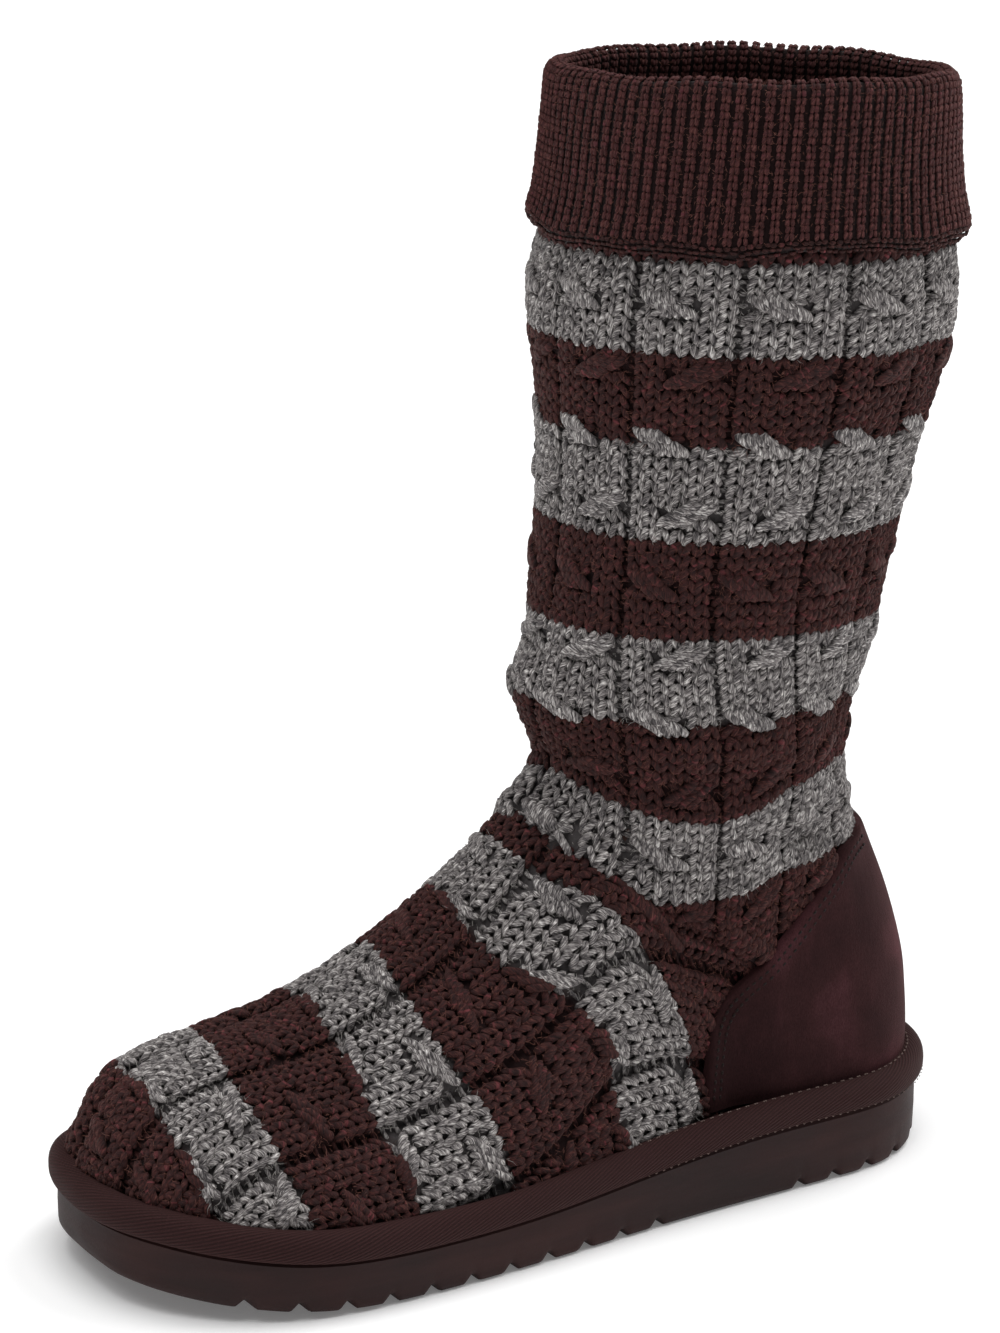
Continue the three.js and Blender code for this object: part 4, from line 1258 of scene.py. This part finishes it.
def outsole_piece():
    turn = np.linspace(0, math.pi / 2, 6)
    levels = [(-SOLE_ROUND * (1 - math.sin(t)), SOLE_ROUND * (1 - math.cos(t)), None) for t in turn]
    levels += [(0.12, None, 0.45), (0.0, None, 0.8), (0.0, None, 0.93), (-0.9, None, 1.0), (-4, None, 1.0)]
    rows = []
    for out, rise, share in levels:
        flat = sole.offset(out)
        y = flat[:, 1]
        if share is None:
            z = np.maximum(sole.foot(y), sole.base(y)) + rise
        else:
            low = sole.base(y) + SOLE_ROUND
            z = low + (sole.top(y) - low) * share
        rows.append(np.column_stack([flat, z]))
    count = len(rows[0])
    places = np.concatenate(rows)
    faces = grid_faces(len(rows), count, True)
    k = np.arange(1, STATIONS - 1)
    rungs = np.stack([k, k + 1, count - k - 1, count - k], axis=-1)
    tips = np.array([[0, 1, count - 1, count - 1], [STATIONS - 1, STATIONS, STATIONS + 1, STATIONS + 1]])
    last = (len(rows) - 1) * count
    faces = np.concatenate([faces, rungs, tips, rungs[:, ::-1] + last, tips[:, [1, 0, 2, 2]] + last])
    return mesh_object("outsole_foam", places, faces, [foam_material()], None, None, 32)


def welt_piece():
    profile = np.array(WELT_PROFILE)
    length = np.concatenate(([0], np.cumsum(np.linalg.norm(np.diff(profile, axis=0), axis=1))))
    across = np.arange(0, length[-1] + 0.2, 0.85)
    fine = np.stack([np.interp(across, length, profile[:, k]) for k in (0, 1)], axis=-1)
    fine = blurred(fine, 0.8, 0, False)
    pick = np.append(np.arange(0, len(sole.ring), 3), 0)
    steps = np.linalg.norm(np.diff(sole.ring[pick], axis=0), axis=1)
    run = np.concatenate(([0], np.cumsum(steps)))
    wobble = uneven((len(fine), len(pick)), 0.14, 5, True)
    wobble[:, -1] = wobble[:, 0]
    rows = []
    for k, (out, up) in enumerate(fine):
        flat = sole.offset(out)[pick] + sole.out[pick] * wobble[k][:, None]
        rows.append(np.column_stack([flat, sole.top(sole.ring[pick, 1]) + GAP + up]))
    shape = (len(fine), len(pick))
    band = np.stack([np.broadcast_to(run, shape), np.broadcast_to(across[:, None], shape), np.zeros(shape)],
                    axis=-1)
    faces = grid_faces(len(fine), len(pick))
    return mesh_object("welt_twill", np.concatenate(rows), faces, [twill_material()], None,
                       {"band": band.reshape(-1, 3)})


# Rows of the welt's stitches: place outwards and upwards, pitch, length, radius, and how far they face up
WELT_ROWS = ((-2.5, 8.35, 3.1, 1.9, 0.26, 0.9), (2.2, 0.75, 2.6, 0.9, 0.2, 0.0))


def welt_threads():
    """Fine stitches along the welt's top seam and its lower edge."""
    length = np.linalg.norm(np.roll(sole.ring, -1, axis=0) - sole.ring, axis=1)
    run = np.concatenate(([0], np.cumsum(length)[:-1]))
    batches = []
    for out, up, pitch, size, radius, up_way in WELT_ROWS:
        flat, ways = sole.offset(out), sole.out
        s = np.arange(0, run[-1], pitch)
        s = s[np.interp(s, run, flat[:, 1]) > WELT_STITCHES]
        x, y, nx, ny = (np.interp(s, run, values) for values in (*flat.T, *ways.T))
        points = np.column_stack([x, y, sole.top(y) + GAP + up])
        normals = unit(np.column_stack([nx * (1 - up_way), ny * (1 - up_way), np.full(len(s), up_way + 0.01)]))
        batches.append((*row_of_stitches(points, normals, size, radius, 4), np.zeros(len(s), int)))
    return joined("welt_threads", batches, [welt_thread])


def insole_piece():
    """A fleece pad, domed at its edge and softly uneven."""
    pick = np.arange(0, STATIONS + 1, 4)
    ring = sole.offset(-9.2)
    outer, inner = ring[pick], ring[(len(ring) - pick) % len(ring)]
    share = (1 - np.cos(np.linspace(0, math.pi, 25))) / 2
    flat = outer[:, None] * (1 - share[:, None]) + inner[:, None] * share[:, None]
    rise = 5.0 - 1.6 * np.abs(2 * share - 1) ** 6
    bumps = uneven(flat.shape[:2], 0.35, 1.5, False)
    z = sole.top(flat[..., 1]) + GAP + rise + bumps
    z[[0, -1]] -= 1.5
    places = np.concatenate([flat, z[..., None]], axis=-1)
    faces = grid_faces(*z.shape)
    return mesh_object("insole_fleece", places, faces, [fleece_material()])


welt_thread = thread_material("welt_thread", "#45302d", "#84716a")
place_piece(outsole_piece(), "foam", "outsole")
place_piece(welt_piece(), "binding", "welt_binding")
place_piece(welt_threads(), "binding", "welt_binding")
place_piece(insole_piece(), "fleece", "insole")


# Stray fibres

def fuzz_material(name, colour, pale):
    n = Nodes(name)
    tone = n.noise(n.where(), 300)
    n.set(base=n.mix(tone, rgb(colour), rgb(pale)), rough=0.8, specular=0.1)
    return n.material


def fuzz(name, sheet, count, u_range, v_range, bands, above_seam, materials, reach=(1.4, 4.0)):
    """Fine hairs that stand off the knit, as bent ribbons."""
    u, v = rng.uniform(*u_range, count), rng.uniform(*v_range, count)
    roots, normals = sheet.at(u, v)
    if bands is not None:
        shown = in_view(roots, normals, above_seam, 0.5)
        u, v, roots, normals = u[shown], v[shown], roots[shown], normals[shown]
    count = len(u)
    length = rng.uniform(*reach, count) * rng.uniform(0.5, 1, count)
    sideways = unit(np.cross(normals, rng.normal(0, 1, (count, 3))))
    lean = rng.uniform(0.5, 1.6, count)[:, None]
    way = unit(normals + sideways * lean)
    bend = unit(np.cross(normals, sideways) * rng.normal(0, 1, (count, 1)) - normals * 0.5)
    lines = []
    for q in (0.0, 0.5, 1.0):
        lines.append(roots - normals * 0.5 + way * (length * q)[:, None] + bend * (length * 0.45 * q * q)[:, None])
    width = unit(np.cross(way, normals + 0.3 * sideways)) * 0.05
    places = np.stack([lines[0] - width, lines[0] + width, lines[1] - width * 0.8, lines[1] + width * 0.8,
                       lines[2]], axis=1)
    faces = np.array([[0, 1, 3, 2], [2, 3, 4, 4]])
    faces = (np.arange(count)[:, None, None] * 5 + faces).reshape(-1, 4)
    tone = np.zeros(count, int) if bands is None else stripe(np.floor(v), bands)
    return mesh_object(name, places, faces, materials, np.repeat(tone, 2))


brown_fuzz = fuzz_material("brown_fuzz", "#54302c", "#96695d")
grey_fuzz = fuzz_material("grey_fuzz", "#77716f", "#c9c4bf")
place_piece(fuzz("shaft_fuzz", shaft, 26000, (0, PANELS * PANEL), (0, 62), SHAFT_BANDS, True,
                 [brown_fuzz, grey_fuzz]), "knit", "upper_knit")
place_piece(fuzz("vamp_fuzz", vamp, 17000, (0, VAMP_PANELS * PANEL), (-4, 63), VAMP_BANDS, False,
                 [brown_fuzz, grey_fuzz]), "knit", "upper_knit")
place_piece(fuzz("cuff_fuzz", cuff, 9000, (0, RIBS), (14, 40), None, True, [brown_fuzz], (1.0, 2.6)),
            "rib", "ribbed_cuff")


# Stage: a pale floor and soft light

def add_stage():
    n = Nodes("floor_white")
    base = n.mix(n.noise(n.where(), 3.0), (0.94, 0.94, 0.94, 1), (0.96, 0.96, 0.96, 1))
    n.set(base=base, rough=0.9, specular=0.0,
          glow=FLOOR_GLOW, glow_tint=(1, 1, 1, 1))
    side = 20000
    corners = [(-side, -side, 0), (side, -side, 0), (side, side, 0), (-side, side, 0)]
    mesh_object("floor", corners, np.array([[0, 1, 2, 3]]), [n.material])
    world = bpy.data.worlds.new("studio")
    bpy.context.scene.world = world
    world.use_nodes = True
    nodes, links = world.node_tree.nodes, world.node_tree.links
    nodes["Background"].inputs[0].default_value = (1, 1, 1, 1)
    # White behind the boot, and a dimmer light from all sides
    seen = nodes.new("ShaderNodeLightPath").outputs["Is Camera Ray"]
    strength = nodes.new("ShaderNodeMath")
    strength.operation = "MULTIPLY_ADD"
    links.new(seen, strength.inputs[0])
    strength.inputs[1].default_value = 1 - SKY_LIGHT
    strength.inputs[2].default_value = SKY_LIGHT
    links.new(strength.outputs[0], nodes["Background"].inputs[1])
    right, _, ahead = view_axes()
    for name, across, up, back, spread, power in SUNS:
        light = bpy.data.lights.new(name, "SUN")
        light.angle = math.radians(spread)
        light.energy = power
        lamp = bpy.data.objects.new(name, light)
        place = right * across + Vector((0, 0, up)) + ahead * back
        lamp.matrix_world = Matrix.Translation(place) @ place.to_track_quat("Z", "Y").to_matrix().to_4x4()
        bpy.context.scene.collection.objects.link(lamp)
    bpy.context.scene.view_settings.view_transform = "Standard"


add_stage()
